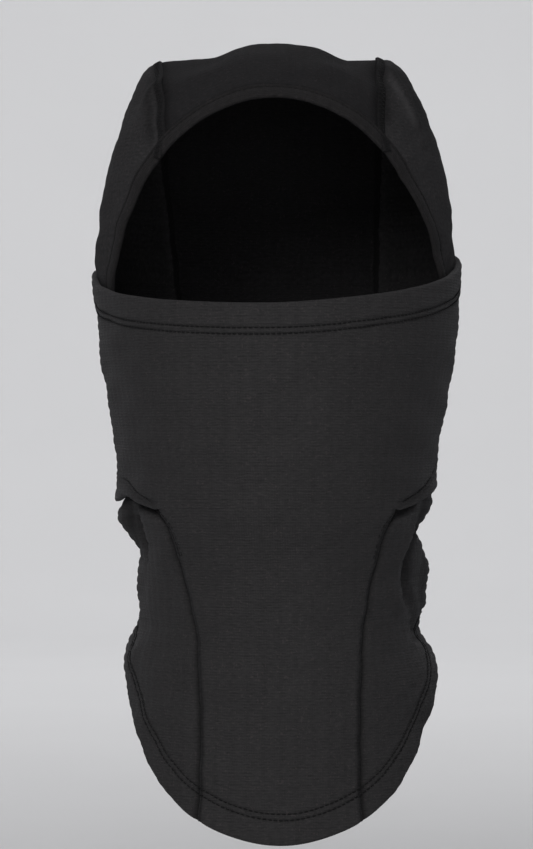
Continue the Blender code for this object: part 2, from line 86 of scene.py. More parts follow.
# Below the head's widest level: height, half width, depth in front, depth behind, and the ring's centre in Y.
HOOD_RINGS = (
    (-0.250, 0.0735, 0.1000, 0.0880, 0.008),
    (-0.210, 0.0718, 0.0960, 0.0800, 0.008),
    (-0.188, 0.0698, 0.0950, 0.0730, 0.008),
    (-0.174, 0.0680, 0.0945, 0.0690, 0.008),
    (-0.158, 0.0630, 0.0945, 0.0650, 0.008),
    (-0.140, 0.0622, 0.0950, 0.0640, 0.007),
    (-0.115, 0.0635, 0.0940, 0.0700, 0.006),
    (-0.090, 0.0662, 0.0930, 0.0810, 0.003),
    (-0.060, 0.0708, 0.0940, 0.0930, 0.001),
    (-0.030, 0.0755, 0.0965, 0.1015, 0.000),
    (0.000, HALF_WIDTH, TO_BROW, TO_BACK, 0.000),
)
# The mask, outside the hood: height, half width and depth in front.
MASK_RINGS = (
    (-0.125, 0.0685, 0.0950),
    (-0.107, 0.0698, 0.0972),
    (-0.097, 0.0702, 0.0990),
    (-0.084, 0.0706, 0.1015),
    (-0.070, 0.0726, 0.1040),
    (-0.054, 0.0754, 0.1060),
    (-0.035, 0.0785, 0.1072),
    (-0.020, 0.0800, 0.1075),
    (0.010, 0.0810, 0.1065),
)
MASK_JOINS_BIB = (-0.104, -0.140)
UNDER_WING = (-0.0055, 0.0005)
NECK_LEAVES_BIB = np.radians(30)
# Above the bib's corner the neck runs on under the mask, this much further round.
NECK_TUCK, NECK_TUCK_Z = 0.30, (-0.1085, -0.1000)

# The face opening, seen from the front.
OPENING_MIDDLE = -0.025
OPENING_HALF_WIDTH = 0.073
OPENING_RISE = 0.0985
JAW_X, JAW_Z = 0.046, -0.104
NAPE_FRONT_Z = -0.088
BINDING_WIDE, BINDING_THICK = 0.0068, 0.0026
BINDING_ROW = 0.0052
# The hood's edge lies this far from the opening's edge, under the binding.
UNDER_BINDING = BINDING_WIDE - 0.0012
BINDING_ENDS = 0.40

# At each station from the brow to the nape, how far the right and the left seam are from the middle.
CROWN_HALF_WIDTHS = (
    (0.0, 0.0480, 0.0458),
    (0.2, 0.0497, 0.0452),
    (0.45, 0.0505, 0.0470),
    (0.75, 0.0460, 0.0460),
    (1.0, 0.0380, 0.0380),
)
LEVEL_STATION = 0.72
NAPE_Z = -0.109
JAW_AZIMUTH, NAPE_AZIMUTH = np.radians(62), np.radians(148)

MASK_TOP_FRONT = -0.0153
MASK_TOP_RISE = 0.0187
MASK_TILT = 0.0035
# The wings' lower edges: degrees round from the front, the right one's height and the left one's, and the
# part of a whole hem that is left there.
WING_EDGE = (
    (30, -0.1045, -0.1045, 0.16),
    (37, -0.1040, -0.1042, 0.17),
    (46, -0.1018, -0.1022, 0.27),
    (58, -0.0986, -0.0991, 0.50),
    (70, -0.1005, -0.0970, 0.78),
    (82, -0.1009, -0.0954, 1.00),
    (106, -0.0990, -0.0935, 1.00),
)
WING_REAR = np.radians(105.2)

BIB_HALF_WIDTHS = (
    (-0.250, 0.0360),
    (-0.222, 0.0345),
    (-0.185, 0.0345),
    (-0.148, 0.0372),
    (-0.128, 0.0420),
    (-0.115, 0.0460),
    (-0.1035, 0.0515),
)
BIB_CORNER_Z = -0.1035
BIB_ROWS_END = -0.1255
BOTTOM_EDGE = (
    (-15, -0.2418),
    (0, -0.2468),
    (15, -0.2418),
    (28, -0.2315),
    (42, -0.2145),
    (56, -0.1950),
    (76, -0.1745),
    (97, -0.1645),
    (125, -0.1710),
    (155, -0.1940),
    (180, -0.2030),
    (205, -0.1940),
)
NECK_SEAM = np.radians(97)

# How far the cloth sits to one side, by height: the crown to the wearer's right, the neck to the left.
SWAY = ((-0.170, 0.0012), (-0.110, 0.0), (0.006, 0.0), (0.045, -0.0013), (0.100, -0.0008))

# Folds, in millimetres: the crest's or crease's path, its height (a crease's is negative) and its half width.
FOLDS = (
    # The crown sinks between its seams, and the cloth puckers outside them.
    (((30, -70, 85), (31, -30, 99), (31, 30, 100), (31, 70, 85)), -4.6, 11.5),
    (((-30, -70, 85), (-29, -30, 99), (-29, 30, 100), (-29, 70, 85)), -4.4, 12.5),
    (((0, -70, 85), (0, 0, 102), (0, 70, 85)), -1, 16),
    (((-70, -35, 64), (-74, -10, 56), (-74, 30, 54)), -2.4, 19),
    # The neck's cloth bunches below and behind the wings: first the wearer's right.
    (((-56, -36, -108.5), (-64, -12, -107.5), (-67, 15, -107.5), (-60, 45, -106)), 6, 8.5),
    (((-57.5, -41, -105), (-59, -39, -113), (-58.5, -36, -124)), -7.8, 4),
    (((-56, -36, -126), (-63, -8, -124.5), (-62, 30, -123.5)), -2, 5),
    (((-46, -64, -129), (-56, -45, -136), (-60, -30, -146)), 1, 6),
    (((-55, -45, -156), (-63, -15, -156), (-64, 15, -154)), -1, 6),
    (((-57, -40, -170), (-68, -10, -167), (-69, 15, -166)), 2, 8.5),
    # Then the left.
    (((56, -30, -102), (65, 0, -101), (64, 30, -100)), 4, 7),
    (((60, -22, -115), (64.5, 0, -114), (62, 30, -113)), -3.6, 3.6),
    (((58, -36, -102), (57, -41, -112), (51.5, -56, -126), (51, -56, -139), (56.5, -42, -156)), 1.4, 4.2),
    (((61.2, -22, -108), (60.5, -26, -114), (57.2, -40, -126), (57.2, -40, -140), (61, -24, -153)), -4.6, 5),
    (((63, -10, -123), (65, 8, -134), (65.5, 10, -144), (63, 6, -153)), 4.4, 9),
    (((57, -38, -159), (63, -10, -159), (63, 20, -157)), -3.4, 5.5),
    (((58, -50, -190), (67, -20, -180), (69, 10, -176)), 2, 12),
    # The mask's top edge stands out a little at the wearer's right.
    (((-70, -50, 4), (-81, 0, 6), (-79, 25, 6)), 2, 11),
    # The bib's lower part creases across.
    (((-20, -90, -209), (-4, -94, -210.5), (12, -92, -209.5)), -0.7, 1.6),
    (((-12, -90, -216), (4, -94, -216.5), (22, -90, -215)), -0.8, 1.8),
    (((-24, -88, -221.5), (-8, -94, -223.5), (10, -92, -222.5)), -0.6, 1.5),
    (((-30, -86, -196), (-12, -92, -198), (6, -93, -197)), -0.5, 2),
    # Behind, the nape's cloth folds across above the shoulders.
    (((-60, 35, -128), (0, 78, -132), (60, 35, -130)), 3, 9),
    (((-60, 35, -150), (0, 74, -154), (60, 35, -148)), -2.2, 8),
    (((-62, 30, -88), (-35, 75, -92), (0, 90, -90), (35, 75, -90)), -1.6, 9),
)
# More of them in the hood's front, where they run down from the crown's seams: their paths are X and Z only.
# They fade out between these places in Y.
CREASE_FADE = (0.050, 0.020)
CREASES = (
    (((45.5, 93), (49, 87.3), (52.5, 81.1), (56.6, 73.9), (60, 65.8), (64.5, 56)), 2.8, 2.3),
    (((-49, 85), (-53, 78), (-57, 70), (-59, 60)), 1.5, 2.8),
    (((-53, 87), (-57.5, 79), (-61.5, 70)), -1.5, 3),
)
# Painted shade in the hollows beside folds: paths as above, how dark and how wide. A crest with a painted
# highlight has a minus sign. They fade out in Y too, and reach further back on the crown.
PAINTED_SHADE_FADE = (0.006, -0.018)
CROWN_REACH = 0.010
PAINTED_SHADE_PATHS = (
    (((47.5, 93.5), (52.2, 87.3), (57.4, 80.5), (61.2, 73), (64.5, 65), (66.5, 56)), 0.48, 3.6),
    (((43.5, 93), (47.2, 87.3), (50.8, 81.1), (55.2, 73.9), (59, 65.8), (64.5, 56)), -0.30, 1.8),
    (((-53.5, 90), (-55.5, 76), (-55, 64), (-53, 50)), 0.45, 2.6),
    (((46.5, 96), (45.8, 78), (46.5, 56)), 0.60, 3.2),
    (((64, -102), (65, -108), (64, -113)), 0.40, 4.5),
    (((57, -123), (58, -132), (60, -142), (63, -155)), 0.42, 4.2),
    (((-62, -101), (-63, -109), (-61.8, -117), (-60.8, -124)), 0.55, 3),
    (((-68, -106), (-67, -114)), 0.30, 4.5),
)
# The cloth's own unevenness, in metres: a wave's length along X, Y and Z, its phase and its height.
UNEVEN = (
    (0.071, 0.090, 0.023, 0.3, 0.00022),
    (-0.052, 0.080, 0.017, 1.9, 0.00016),
    (0.034, -0.060, 0.031, 4.1, 0.00016),
    (-0.027, 0.050, 0.045, 2.6, 0.00014),
    (0.019, 0.041, -0.012, 5.2, 0.00007),
    (-0.015, -0.033, 0.0095, 0.9, 0.00006),
)


# ---------------------------------------------------------------- curves


def through(rows):
    """A smooth function through rows of (place, value, ...), held at its end values outside them."""
    table = np.array(rows, float)
    place, value = table[:, 0], table[:, 1:]
    slope = np.gradient(value, place, axis=0)

    def at(where):
        where = np.clip(np.asarray(where, float), place[0], place[-1])
        i = np.clip(np.searchsorted(place, where) - 1, 0, len(place) - 2)
        span = (place[i + 1] - place[i])[..., None]
        t = (where - place[i])[..., None] / span
        return (
            value[i] * (2 * t**3 - 3 * t**2 + 1)
            + slope[i] * span * (t**3 - 2 * t**2 + t)
            + value[i + 1] * (3 * t**2 - 2 * t**3)
            + slope[i + 1] * span * (t**3 - t**2)
        )

    return at


def ease(value, start, end):
    t = np.clip((value - start) / (end - start), 0, 1)
    return t * t * (3 - 2 * t)


def wrapped(azimuth):
    return np.where(azimuth > np.pi, azimuth - 2 * np.pi, azimuth)


def mix(a, b, part):
    return a + (b - a) * np.asarray(part)[..., None]


def unit(vectors):
    return vectors / np.maximum(np.linalg.norm(vectors, axis=-1, keepdims=True), 1e-12)


def spaced(length, step, start=(), end=()):
    """Places from 0 to length about a step apart, with finer ones at each end."""
    start, end = np.array(start, float), np.array(end, float)
    a = start[-1] if len(start) else 0
    b = end[-1] if len(end) else 0
    inner = np.linspace(a, length - b, max(int((length - a - b) / step), 1) + 1)
    return np.concatenate((start[:-1], inner, (length - end[:-1])[::-1]))


def spaced_shares(size, step, start=(), end=(), length=1):
    """The same for shares of a cloth that is about this size."""
    return spaced(length, step / size, np.array(start) / size, np.array(end) / size)


def interpolated(where, at, values):
    """Rows of three values that are known at some places, at other places."""
    return np.stack([np.interp(where, at, values[:, k]) for k in range(3)], axis=-1)


def respread(values, count):
    """The rows of values, spread evenly over another number of rows."""
    return interpolated(np.linspace(0, 1, count), np.linspace(0, 1, len(values)), values)


# Distances from a folded edge, a hemmed edge and a seam at which the mesh has finer rows.
FOLDED = (0, 0.0001, 0.0003, 0.0006, 0.0010, 0.0015, 0.0021)
HEMMED = FOLDED + tuple(np.arange(0.0030, 0.0162, 0.0007))
SEWN = (0, 0.0003, 0.0007, 0.0012, 0.0018)

hood_ring = through(HOOD_RINGS)
sway = through(SWAY)
wing_line = through(WING_EDGE)
mask_ring = through(MASK_RINGS)
bib_half_width = through(BIB_HALF_WIDTHS)
bottom_edge = through(BOTTOM_EDGE)
crown_half_widths = through(CROWN_HALF_WIDTHS)


# ---------------------------------------------------------------- surfaces


def plan_point(azimuth, half_width, front, back, centre):
    s, c = np.sin(azimuth), np.cos(azimuth)
    depth = np.where(c > 0, front, back)
    radius = ((abs(s) / half_width) ** PLAN_POWER + (abs(c) / depth) ** PLAN_POWER) ** (-1 / PLAN_POWER)
    return radius * s, centre - radius * c


def on_hood(azimuth, level):
    """Points of the hood or neck. Level is the height below 0, and above 0 it runs to TO_CROWN at the top."""
    azimuth, level = np.broadcast_arrays(np.asarray(azimuth, float), np.asarray(level, float))
    half_width, front, back, centre = np.moveaxis(hood_ring(np.minimum(level, 0)), -1, 0)
    lift = np.clip(level / TO_CROWN, 0, 1) * np.pi / 2
    shrink = np.maximum(np.cos(lift), 1e-6) ** (2 / DOME_POWER)
    x, y = plan_point(azimuth, half_width * shrink, front * shrink, back * shrink, centre)
    z = np.where(level > 0, TO_CROWN * np.sin(lift) ** (2 / DOME_POWER), level)
    return np.stack((x, y, z), axis=-1)


def place_on_hood(points):
    x, y, z = np.moveaxis(points, -1, 0)
    centre = hood_ring(np.minimum(z, 0))[..., 3]
    lift = np.arcsin(np.clip(z / TO_CROWN, 0, 1) ** (DOME_POWER / 2))
    return np.arctan2(x, centre - y), np.where(z > 0, TO_CROWN * lift / (np.pi / 2), z)


def hood_normal(points):
    azimuth, level = place_on_hood(points)
    right = on_hood(azimuth + 0.01, level) - on_hood(azimuth - 0.01, level)
    up = on_hood(azimuth, level + 0.001) - on_hood(azimuth, level - 0.001)
    return unit(np.cross(right, up))


def front_of_hood(x, z):
    half_width, front, _, centre = np.moveaxis(hood_ring(np.minimum(z, 0)), -1, 0)
    shrink = (1 - np.maximum(z, 0) ** DOME_POWER / TO_CROWN**DOME_POWER) ** (1 / DOME_POWER)
    inside = np.maximum(shrink**PLAN_POWER - (abs(x) / half_width) ** PLAN_POWER, 0)
    return np.stack((x, centre - front * inside ** (1 / PLAN_POWER), z), axis=-1)


def on_mask(azimuth, z):
    """Points of the mask. Behind the widest place its wings run straight back, then come in to the hood."""
    azimuth, z = np.broadcast_arrays(np.asarray(azimuth, float), np.asarray(z, float))
    half_width, front = np.moveaxis(mask_ring(z), -1, 0)
    x, y = plan_point(azimuth, half_width, front, front, 0)
    behind = np.abs(azimuth) > np.pi / 2
    back_y = half_width * np.tan(np.clip(np.abs(azimuth) - np.pi / 2, 0, 1))
    ring = hood_ring(np.minimum(z, 0))
    part_back = np.clip((back_y - ring[..., 3]) / ring[..., 2], 0, 1)
    hood_x = ring[..., 0] * (1 - part_back**PLAN_POWER) ** (1 / PLAN_POWER)
    inwards = ease(np.abs(azimuth), np.radians(91), WING_REAR)
    side = half_width + (hood_x + 0.0017 - half_width) * inwards
    x = np.where(behind, np.sign(azimuth) * side, x)
    return np.stack((x, np.where(behind, back_y, y), z), axis=-1)


def on_bib(azimuth, z):
    return mix(on_mask(azimuth, z), on_hood(azimuth, z), ease(z, *MASK_JOINS_BIB))


def bib_edge(z):
    """The azimuth of the bib's side seam at each height."""
    z = np.asarray(z, float)
    wanted = bib_half_width(z)[..., 0]
    low, high = np.zeros_like(z), np.full_like(z, np.pi / 2)
    for _ in range(30):
        middle = (low + high) / 2
        inside = on_bib(middle, z)[..., 0] < wanted
        low, high = np.where(inside, middle, low), np.where(inside, high, middle)
    return low


BIB_CORNER = float(bib_edge(BIB_CORNER_Z))
EDGE_Z = np.linspace(-0.26, BIB_CORNER_Z, 60)
EDGE_AZIMUTH = bib_edge(EDGE_Z)


def bib_side(z):
    return np.interp(z, EDGE_Z, EDGE_AZIMUTH)


def on_neck(azimuth, z):
    """Points of the neck: it meets the bib at its seam and passes under the wing at its top."""
    behind = np.abs(azimuth) - bib_side(z)
    part = np.maximum(ease(behind, 0, NECK_LEAVES_BIB), ease(z - wing_edge(azimuth), *UNDER_WING))
    return mix(on_bib(azimuth, z), on_hood(azimuth, z), part)


def mask_top(azimuth):
    return MASK_TOP_FRONT + MASK_TOP_RISE * (1 - np.cos(azimuth)) ** 0.8 + MASK_TILT * np.sin(azimuth)


def wing_edge(azimuth):
    right, left, _ = np.moveaxis(wing_line(np.degrees(np.abs(azimuth))), -1, 0)
    return np.where(np.asarray(azimuth) > 0, left, right)


def wing_hem_part(azimuth):
    return wing_line(np.degrees(np.abs(azimuth)))[..., 2]


def wing_row_heights(azimuth):
    """The heights of the wing hem's two rows of stitches above its edge."""
    low = ROWS_UP[0] * wing_hem_part(azimuth)
    return low, low + np.maximum((ROWS_UP[1] - ROWS_UP[0]) * wing_hem_part(azimuth), 0.0017)


def bottom(azimuth):
    return bottom_edge(np.degrees(np.abs(azimuth)))[..., 0]


def nape_line(azimuth):
    return np.interp(np.abs(azimuth), (JAW_AZIMUTH, NAPE_AZIMUTH), (NAPE_FRONT_Z, NAPE_Z))


def on_neck_or_bib(azimuth, z):
    inside = np.abs(azimuth) < bib_side(z)
    return np.where(inside[..., None], on_bib(azimuth, z), on_neck(azimuth, z))


def slant(azimuth):
    """How much longer the cloth is upwards than square to the bottom edge."""
    step = np.radians(2)
    a, b = (on_hood(azimuth + s, bottom(azimuth + s)) for s in (-step, step))
    run = np.hypot((b - a)[..., 0], (b - a)[..., 1])
    return np.hypot(1, (b - a)[..., 2] / run)


def opening(turn):
    """The face opening's edge: turn runs from 0 at the brow to 0.5 below the chin, positive on the left."""
    side, angle = np.where(turn < 0, -1, 1), np.abs(turn) * 2 * np.pi
    above = angle <= np.pi / 2
    lower = JAW_X + (OPENING_HALF_WIDTH - JAW_X) * np.maximum(np.sin(angle), 0) ** 1.6
    x = np.where(above, OPENING_HALF_WIDTH * np.sin(angle), lower)
    rise = np.where(above, OPENING_RISE, OPENING_MIDDLE - JAW_Z)
    return front_of_hood(side * x, OPENING_MIDDLE + rise * np.cos(angle))


def beside_opening(turn, distance):
    """Points on the hood this far outside the face opening's edge."""
    turn, distance = np.broadcast_arrays(np.asarray(turn, float), np.asarray(distance, float))
    here = opening(turn)
    along = opening(turn + 0.004) - opening(turn - 0.004)
    away = unit(np.cross(along, hood_normal(here)))
    inner = here - np.stack((0 * turn, here[..., 1], 0 * turn + OPENING_MIDDLE), axis=-1)
    away *= np.where((away * inner).sum(-1) < 0, -1, 1)[..., None]
    return on_hood(*place_on_hood(here + away * distance[..., None]))


def along_folds(flat, table):
    """The sum of a table's folds at each point. A fold is strongest along the middle of its path."""
    total = np.zeros(len(flat))
    for path, height, wide in table:
        path = np.array(path) / 1000
        nearest = np.full(len(flat), np.inf)
        place = np.zeros(len(flat))
        for k, (a, b) in enumerate(zip(path[:-1], path[1:])):
            t = np.clip((flat - a) @ (b - a) / ((b - a) @ (b - a)), 0, 1)
            gap = np.linalg.norm(flat - a - t[:, None] * (b - a), axis=1)
            place = np.where(gap < nearest, (k + t) / (len(path) - 1), place)
            nearest = np.minimum(nearest, gap)
        fade = np.maximum(ease(place, 0, 0.25) * ease(place, 1, 0.75), 0.25)
        total += height * fade * np.exp(-((nearest / (wide / 1000)) ** 2))
    return total


def folded(points):
    """The points moved out or in by the folds that pass near them."""
    points = np.asarray(points, float)
    flat = points.reshape(-1, 3)
    total = along_folds(flat, FOLDS) / 1000
    total += along_folds(flat[:, [0, 2]], CREASES) / 1000 * ease(flat[:, 1], *CREASE_FADE)
    for *wave, phase, height in UNEVEN:
        total += height * np.sin(2 * np.pi * (flat @ (1 / np.array(wave))) + phase)
    moved = flat + hood_normal(flat) * total[:, None]
    moved[:, 0] += sway(flat[:, 2])[:, 0]
    return moved.reshape(points.shape)


# ---------------------------------------------------------------- cloth meshes


def lengths(grid, axis):
    """Distances along the grid's rows or columns, from the first."""
    step = np.linalg.norm(np.diff(grid, axis=axis), axis=-1)
    zero = np.zeros_like(np.take(step, [0], axis=axis))
    return np.concatenate((zero, np.cumsum(step, axis=axis)), axis=axis)


def relief(across, along):
    """The grid knit's raised cells, from 0 in the channels to 1 on a cell."""
    row = 0.5 + 0.5 * np.cos(2 * np.pi * along / GRID_ROW)
    column = 0.5 + 0.5 * np.cos(2 * np.pi * across / GRID_COLUMN)
    return (1 - (1 - row) ** 3) * (1 - (1 - column) ** 5 * 0.6)


class Cloth:
    """A sheet of cloth under construction: its points in cloth coordinates, how far out its faces lie, and its
    painted shade.
    """

    def __init__(self, points, faces, across, along, outside, inside=0.0005):
        self.points, self.faces, self.across, self.along = points, faces, across, along
        self.outer = np.full(len(points), FABRIC / 2)
        self.inner = np.full(len(points), FABRIC / 2)
        cells = relief(across, along)
        self.shade = np.zeros(len(points))
        self.outer += outside * (cells - 0.6)
        self.inner += inside * (cells - 0.6)

    def hem(self, distance, rows=ROWS_UP):
        """Doubles the cloth near an edge that is turned in, and presses in its rows of stitches, with painted
        shade along them.
        """
        turned = ease(distance, HEM_TALL + 0.0006, HEM_TALL - 0.0006)
        self.outer += (HEM - FABRIC) * HEM_OUTSIDE * turned
        self.inner += (HEM - FABRIC) * (1 - HEM_OUTSIDE) * turned
        for row in rows:
            self.groove(distance - row, ROW_DEEP, ROW_WIDE, 0.24)
        self.fold(distance, HEM / 2)

    def fold(self, distance, radius):
        """Rounds off a folded edge."""
        round_off = np.sqrt(np.clip(1 - (1 - np.clip(distance / radius, 0, 1)) ** 2, 0.0009, 1))
        self.outer *= round_off
        self.inner *= round_off

    def sewn(self, distance, deep=0.0013, wide=0.0016, dark=0.8):
        """Turns the cloth down into a seam, with painted shade along it."""
        dip = deep * np.exp(-((distance / wide) ** 2))
        self.outer -= dip
        self.inner += dip
        self.fold(distance, 0.0007)
        self.paint_shade(distance, wide, dark)

    def groove(self, distance, deep, wide, dark=0.4):
        # Presses the cloth in along a line, with painted shade along it.
        self.outer -= deep * np.exp(-((distance / wide) ** 2))
        self.paint_shade(distance, wide, dark)

    def paint_shade(self, distance, wide, dark):
        """Painted shade along stitches, seams and grooves, darkest along their middle."""
        self.shade = np.maximum(self.shade, dark * np.exp(-((distance / wide) ** 2)))

    def make(self, name, finish):
        """The closed mesh, with both faces and the rim between them."""
        points, faces = self.points, self.faces
        corners = points[faces]
        flat = np.cross(corners[:, 1] - corners[:, 0], corners[:, 3] - corners[:, 0])
        normals = np.zeros_like(points)
        for k in range(4):
            np.add.at(normals, faces[:, k], flat)
        normals = unit(normals)
        count = len(points)
        vertices = np.vstack((points + normals * self.outer[:, None], points - normals * self.inner[:, None]))
        ends = np.vstack([faces[:, [k, (k + 1) % 4]] for k in range(4)])
        key = np.sort(ends, axis=1)
        _, index, uses = np.unique(key, axis=0, return_index=True, return_counts=True)
        rim = ends[index[uses == 1]]
        sides = np.stack((rim[:, 1], rim[:, 0], rim[:, 0] + count, rim[:, 1] + count), axis=1)
        every = np.vstack((faces, faces[:, ::-1] + count, sides))
        made = add_mesh(name, vertices, every.tolist(), finish)
        place = np.stack((self.across, self.along), axis=1)
        layer = made.data.uv_layers.new(name="Cloth")
        layer.data.foreach_set("uv", np.vstack((place, place))[every.ravel()].astype(np.float32).ravel())
        # The shade painted along seams, stitches and grooves, painted shade in the hollows beside folds and
        # painted highlight on crests (values below zero) go on the outer face; the inner face has none.
        shade = made.data.attributes.new("painted_shade_highlight", "FLOAT", "POINT")
        back = points[:, 1] - CROWN_REACH * (points[:, 2] > 0)
        painted_at_folds = along_folds(points[:, [0, 2]], PAINTED_SHADE_PATHS) * ease(back, *PAINTED_SHADE_FADE)
        dark = np.where((painted_at_folds < 0) & (self.shade < 0.1), painted_at_folds, np.maximum(self.shade, painted_at_folds))
        shade.data.foreach_set("value", np.concatenate((dark, 0 * dark)).astype(np.float32))
        return made


def add_object(name, data):
    made = bpy.data.objects.new(name, data)
    bpy.context.scene.collection.objects.link(made)
    return made


def add_mesh(name, vertices, faces, finish):
    mesh = bpy.data.meshes.new(name)
    mesh.from_pydata(vertices.tolist(), [], faces)
    mesh.update()
    mesh.shade_smooth()
    mesh.materials.append(finish)
    return add_object(name, mesh)


def grid_faces(index):
    a, b, c, d = index[:-1, :-1], index[:-1, 1:], index[1:, 1:], index[1:, :-1]
    return np.stack((a, b, c, d), axis=-1).reshape(-1, 4)


def grid_cloth(grid, across=None, along=None, outside=0.0001, inside=0.0005):
    """A sheet from rows that run to the wearer's left and follow one another upwards."""
    rows, columns = grid.shape[:2]
    if across is None:
        across = lengths(grid, 1)
        across = across - across[:, [columns // 2]]
    if along is None:
        along = lengths(grid, 0)
    faces = grid_faces(np.arange(rows * columns).reshape(rows, columns))
    return Cloth(grid.reshape(-1, 3), faces, across.ravel(), along.ravel(), outside, inside)


def rounded_path(path, reach):
    """The path with its corners taken off by averaging neighbours, and its ends kept."""
    wide = np.vstack((np.repeat(path[:1], reach, 0), path, np.repeat(path[-1:], reach, 0)))
    total = np.cumsum(np.vstack((0 * path[:1], wide)), 0)
    span = 2 * reach + 1
    smooth = (total[span:] - total[:-span]) / span
    part = np.clip(np.minimum(np.arange(len(path)), np.arange(len(path))[::-1]) / reach, 0, 1)
    return mix(path, smooth, part)


# ---------------------------------------------------------------- threads


def resampled(path, step):
    """The path at points a step apart."""
    along = lengths(path, 0)
    count = max(int(along[-1] / step), 2)
    at = np.linspace(0, along[-1], count + 1)
    return interpolated(at, along, path), at


def tubes(name, centres, ups, radius, finish, flat=0.75):
    """Short threads, each a tube through its own points. Centres and ups have shape (threads, points, 3)."""
    sides = 6
    along = unit(np.gradient(centres, axis=1))
    across = unit(np.cross(along, ups))
    over = np.cross(across, along)
    turn = np.linspace(0, 2 * np.pi, sides, endpoint=False)
    taper = np.ones(centres.shape[1])
    taper[0] = taper[-1] = 0.45
    cosine, sine = np.cos(turn)[:, None], np.sin(turn)[:, None]
    spokes = across[:, :, None] * cosine + over[:, :, None] * flat * sine
    ring = centres[:, :, None] + radius * taper[None, :, None, None] * spokes
    threads, points = centres.shape[:2]
    index = np.arange(threads * points * sides).reshape(threads, points, sides)
    a, b = index[:, :-1], index[:, 1:]
    quads = np.stack((a, np.roll(a, -1, axis=2), np.roll(b, -1, axis=2), b), axis=-1).reshape(-1, 4)
    caps = index[:, 0, ::-1].tolist() + index[:, -1].tolist()
    return add_mesh(name, ring.reshape(-1, 3), quads.tolist() + caps, finish)


def stitches(name, path, normals, finish, radius=THREAD / 2, pitch=STITCH, long=STITCH_LONG, lift=0.0):
    """A row of lockstitches that lie on the path and dive into the cloth at both ends."""
    path, at = resampled(path + normals * lift, 0.0003)
    ups = respread(normals, len(path))
    starts = np.arange(0, at[-1] - long, pitch)
    steps = np.array((0.0, 0.14, 0.35, 0.65, 0.86, 1.0))
    depth = np.array((-1.5, 0.1, 0.75, 0.75, 0.1, -1.5)) * radius
    where = starts[:, None] + steps[None, :] * long
    centres = interpolated(where, at, path)
    up = unit(interpolated(where, at, ups))
    return tubes(name, centres + up * depth[None, :, None], up, radius, finish)


def ladder(name, path, normals, finish, wide, pitch=0.0012, radius=0.00027, arch=0.0004):
    """A flat seam's threads: they cross the band at a slant, one way and then the other."""
    fine, at = resampled(path, 0.0003)
    ups = unit(respread(normals, len(fine)))
    along = unit(np.gradient(fine, axis=0))
    across = unit(np.cross(along, ups))
    starts = np.arange(pitch, at[-1] - 2 * pitch, pitch)
    steps = np.linspace(-1, 1, 7)
    slope = np.where(np.arange(len(starts)) % 2, 1, -1)[:, None] * pitch * 0.8
    where = starts[:, None] + slope * steps[None, :]
    middle, sideways, up = (interpolated(where, at, values) for values in (fine, across, ups))
    height = arch * np.sqrt(np.clip(1 - steps**2, 0, 1)) - radius * 1.2 * (np.abs(steps) > 0.95)
    centres = middle + sideways * (steps * wide / 2)[None, :, None] + up * height[None, :, None]
    return tubes(name, centres, unit(up), radius, finish)


# ---------------------------------------------------------------- materials


class Nodes:
    """Short names for making a material's nodes."""

    def __init__(self, name):
        self.material = bpy.data.materials.new(name)
        self.material.use_nodes = True
        self.tree = self.material.node_tree
        self.shader = self.tree.nodes["Principled BSDF"]

    def add(self, kind, **values):
        node = self.tree.nodes.new("ShaderNode" + kind)
        for key, value in values.items():
            setattr(node, key, value)
        return node

    def link(self, source, target):
        self.tree.links.new(source, target)

    def fill(self, socket, value):
        if hasattr(value, "is_linked"):
            self.link(value, socket)
        else:
            socket.default_value = value

    def math(self, operation, a, b=0.0, c=0.0):
        node = self.add("Math", operation=operation)
        for socket, value in zip(node.inputs, (a, b, c)):
            self.fill(socket, value)
        return node.outputs[0]

    def noise(self, where, scale, detail=2.0, rough=0.5):
        node = self.add("TexNoise")
        self.fill(node.inputs["Vector"], where)
        node.inputs["Scale"].default_value = scale
        node.inputs["Detail"].default_value = detail
        node.inputs["Roughness"].default_value = rough
        return node.outputs["Fac"]

    def wave(self, value, pitch):
        """0 to 1 and back over each pitch."""
        turned = self.math("SINE", self.math("MULTIPLY", value, 2 * np.pi / pitch))
        return self.math("MULTIPLY_ADD", turned, 0.5, 0.5)

    def spread(self, value, low, high):
        node = self.add("MapRange")
        self.fill(node.inputs["Value"], value)
        node.inputs["To Min"].default_value = low
        node.inputs["To Max"].default_value = high
        return node.outputs[0]

    def blend(self, part, a, b):
        node = self.add("Mix", data_type="RGBA")
        self.fill(node.inputs[0], part)
        self.fill(node.inputs[6], a)
        self.fill(node.inputs[7], b)
        return node.outputs[2]

    def bump(self, height, distance, strength=1.0):
        node = self.add("Bump")
        self.fill(node.inputs["Height"], height)
        node.inputs["Distance"].default_value = distance
        node.inputs["Strength"].default_value = strength
        self.link(node.outputs[0], self.shader.inputs["Normal"])

    def sheen(self, weight, roughness, tint):
        self.shader.inputs["Sheen Weight"].default_value = weight
        self.shader.inputs["Sheen Roughness"].default_value = roughness
        self.shader.inputs["Sheen Tint"].default_value = (*tint, 1)


def scaled(colour, *by):
    """An opaque colour, made brighter or darker."""
    return (*(np.array(colour) * by).tolist(), 1)


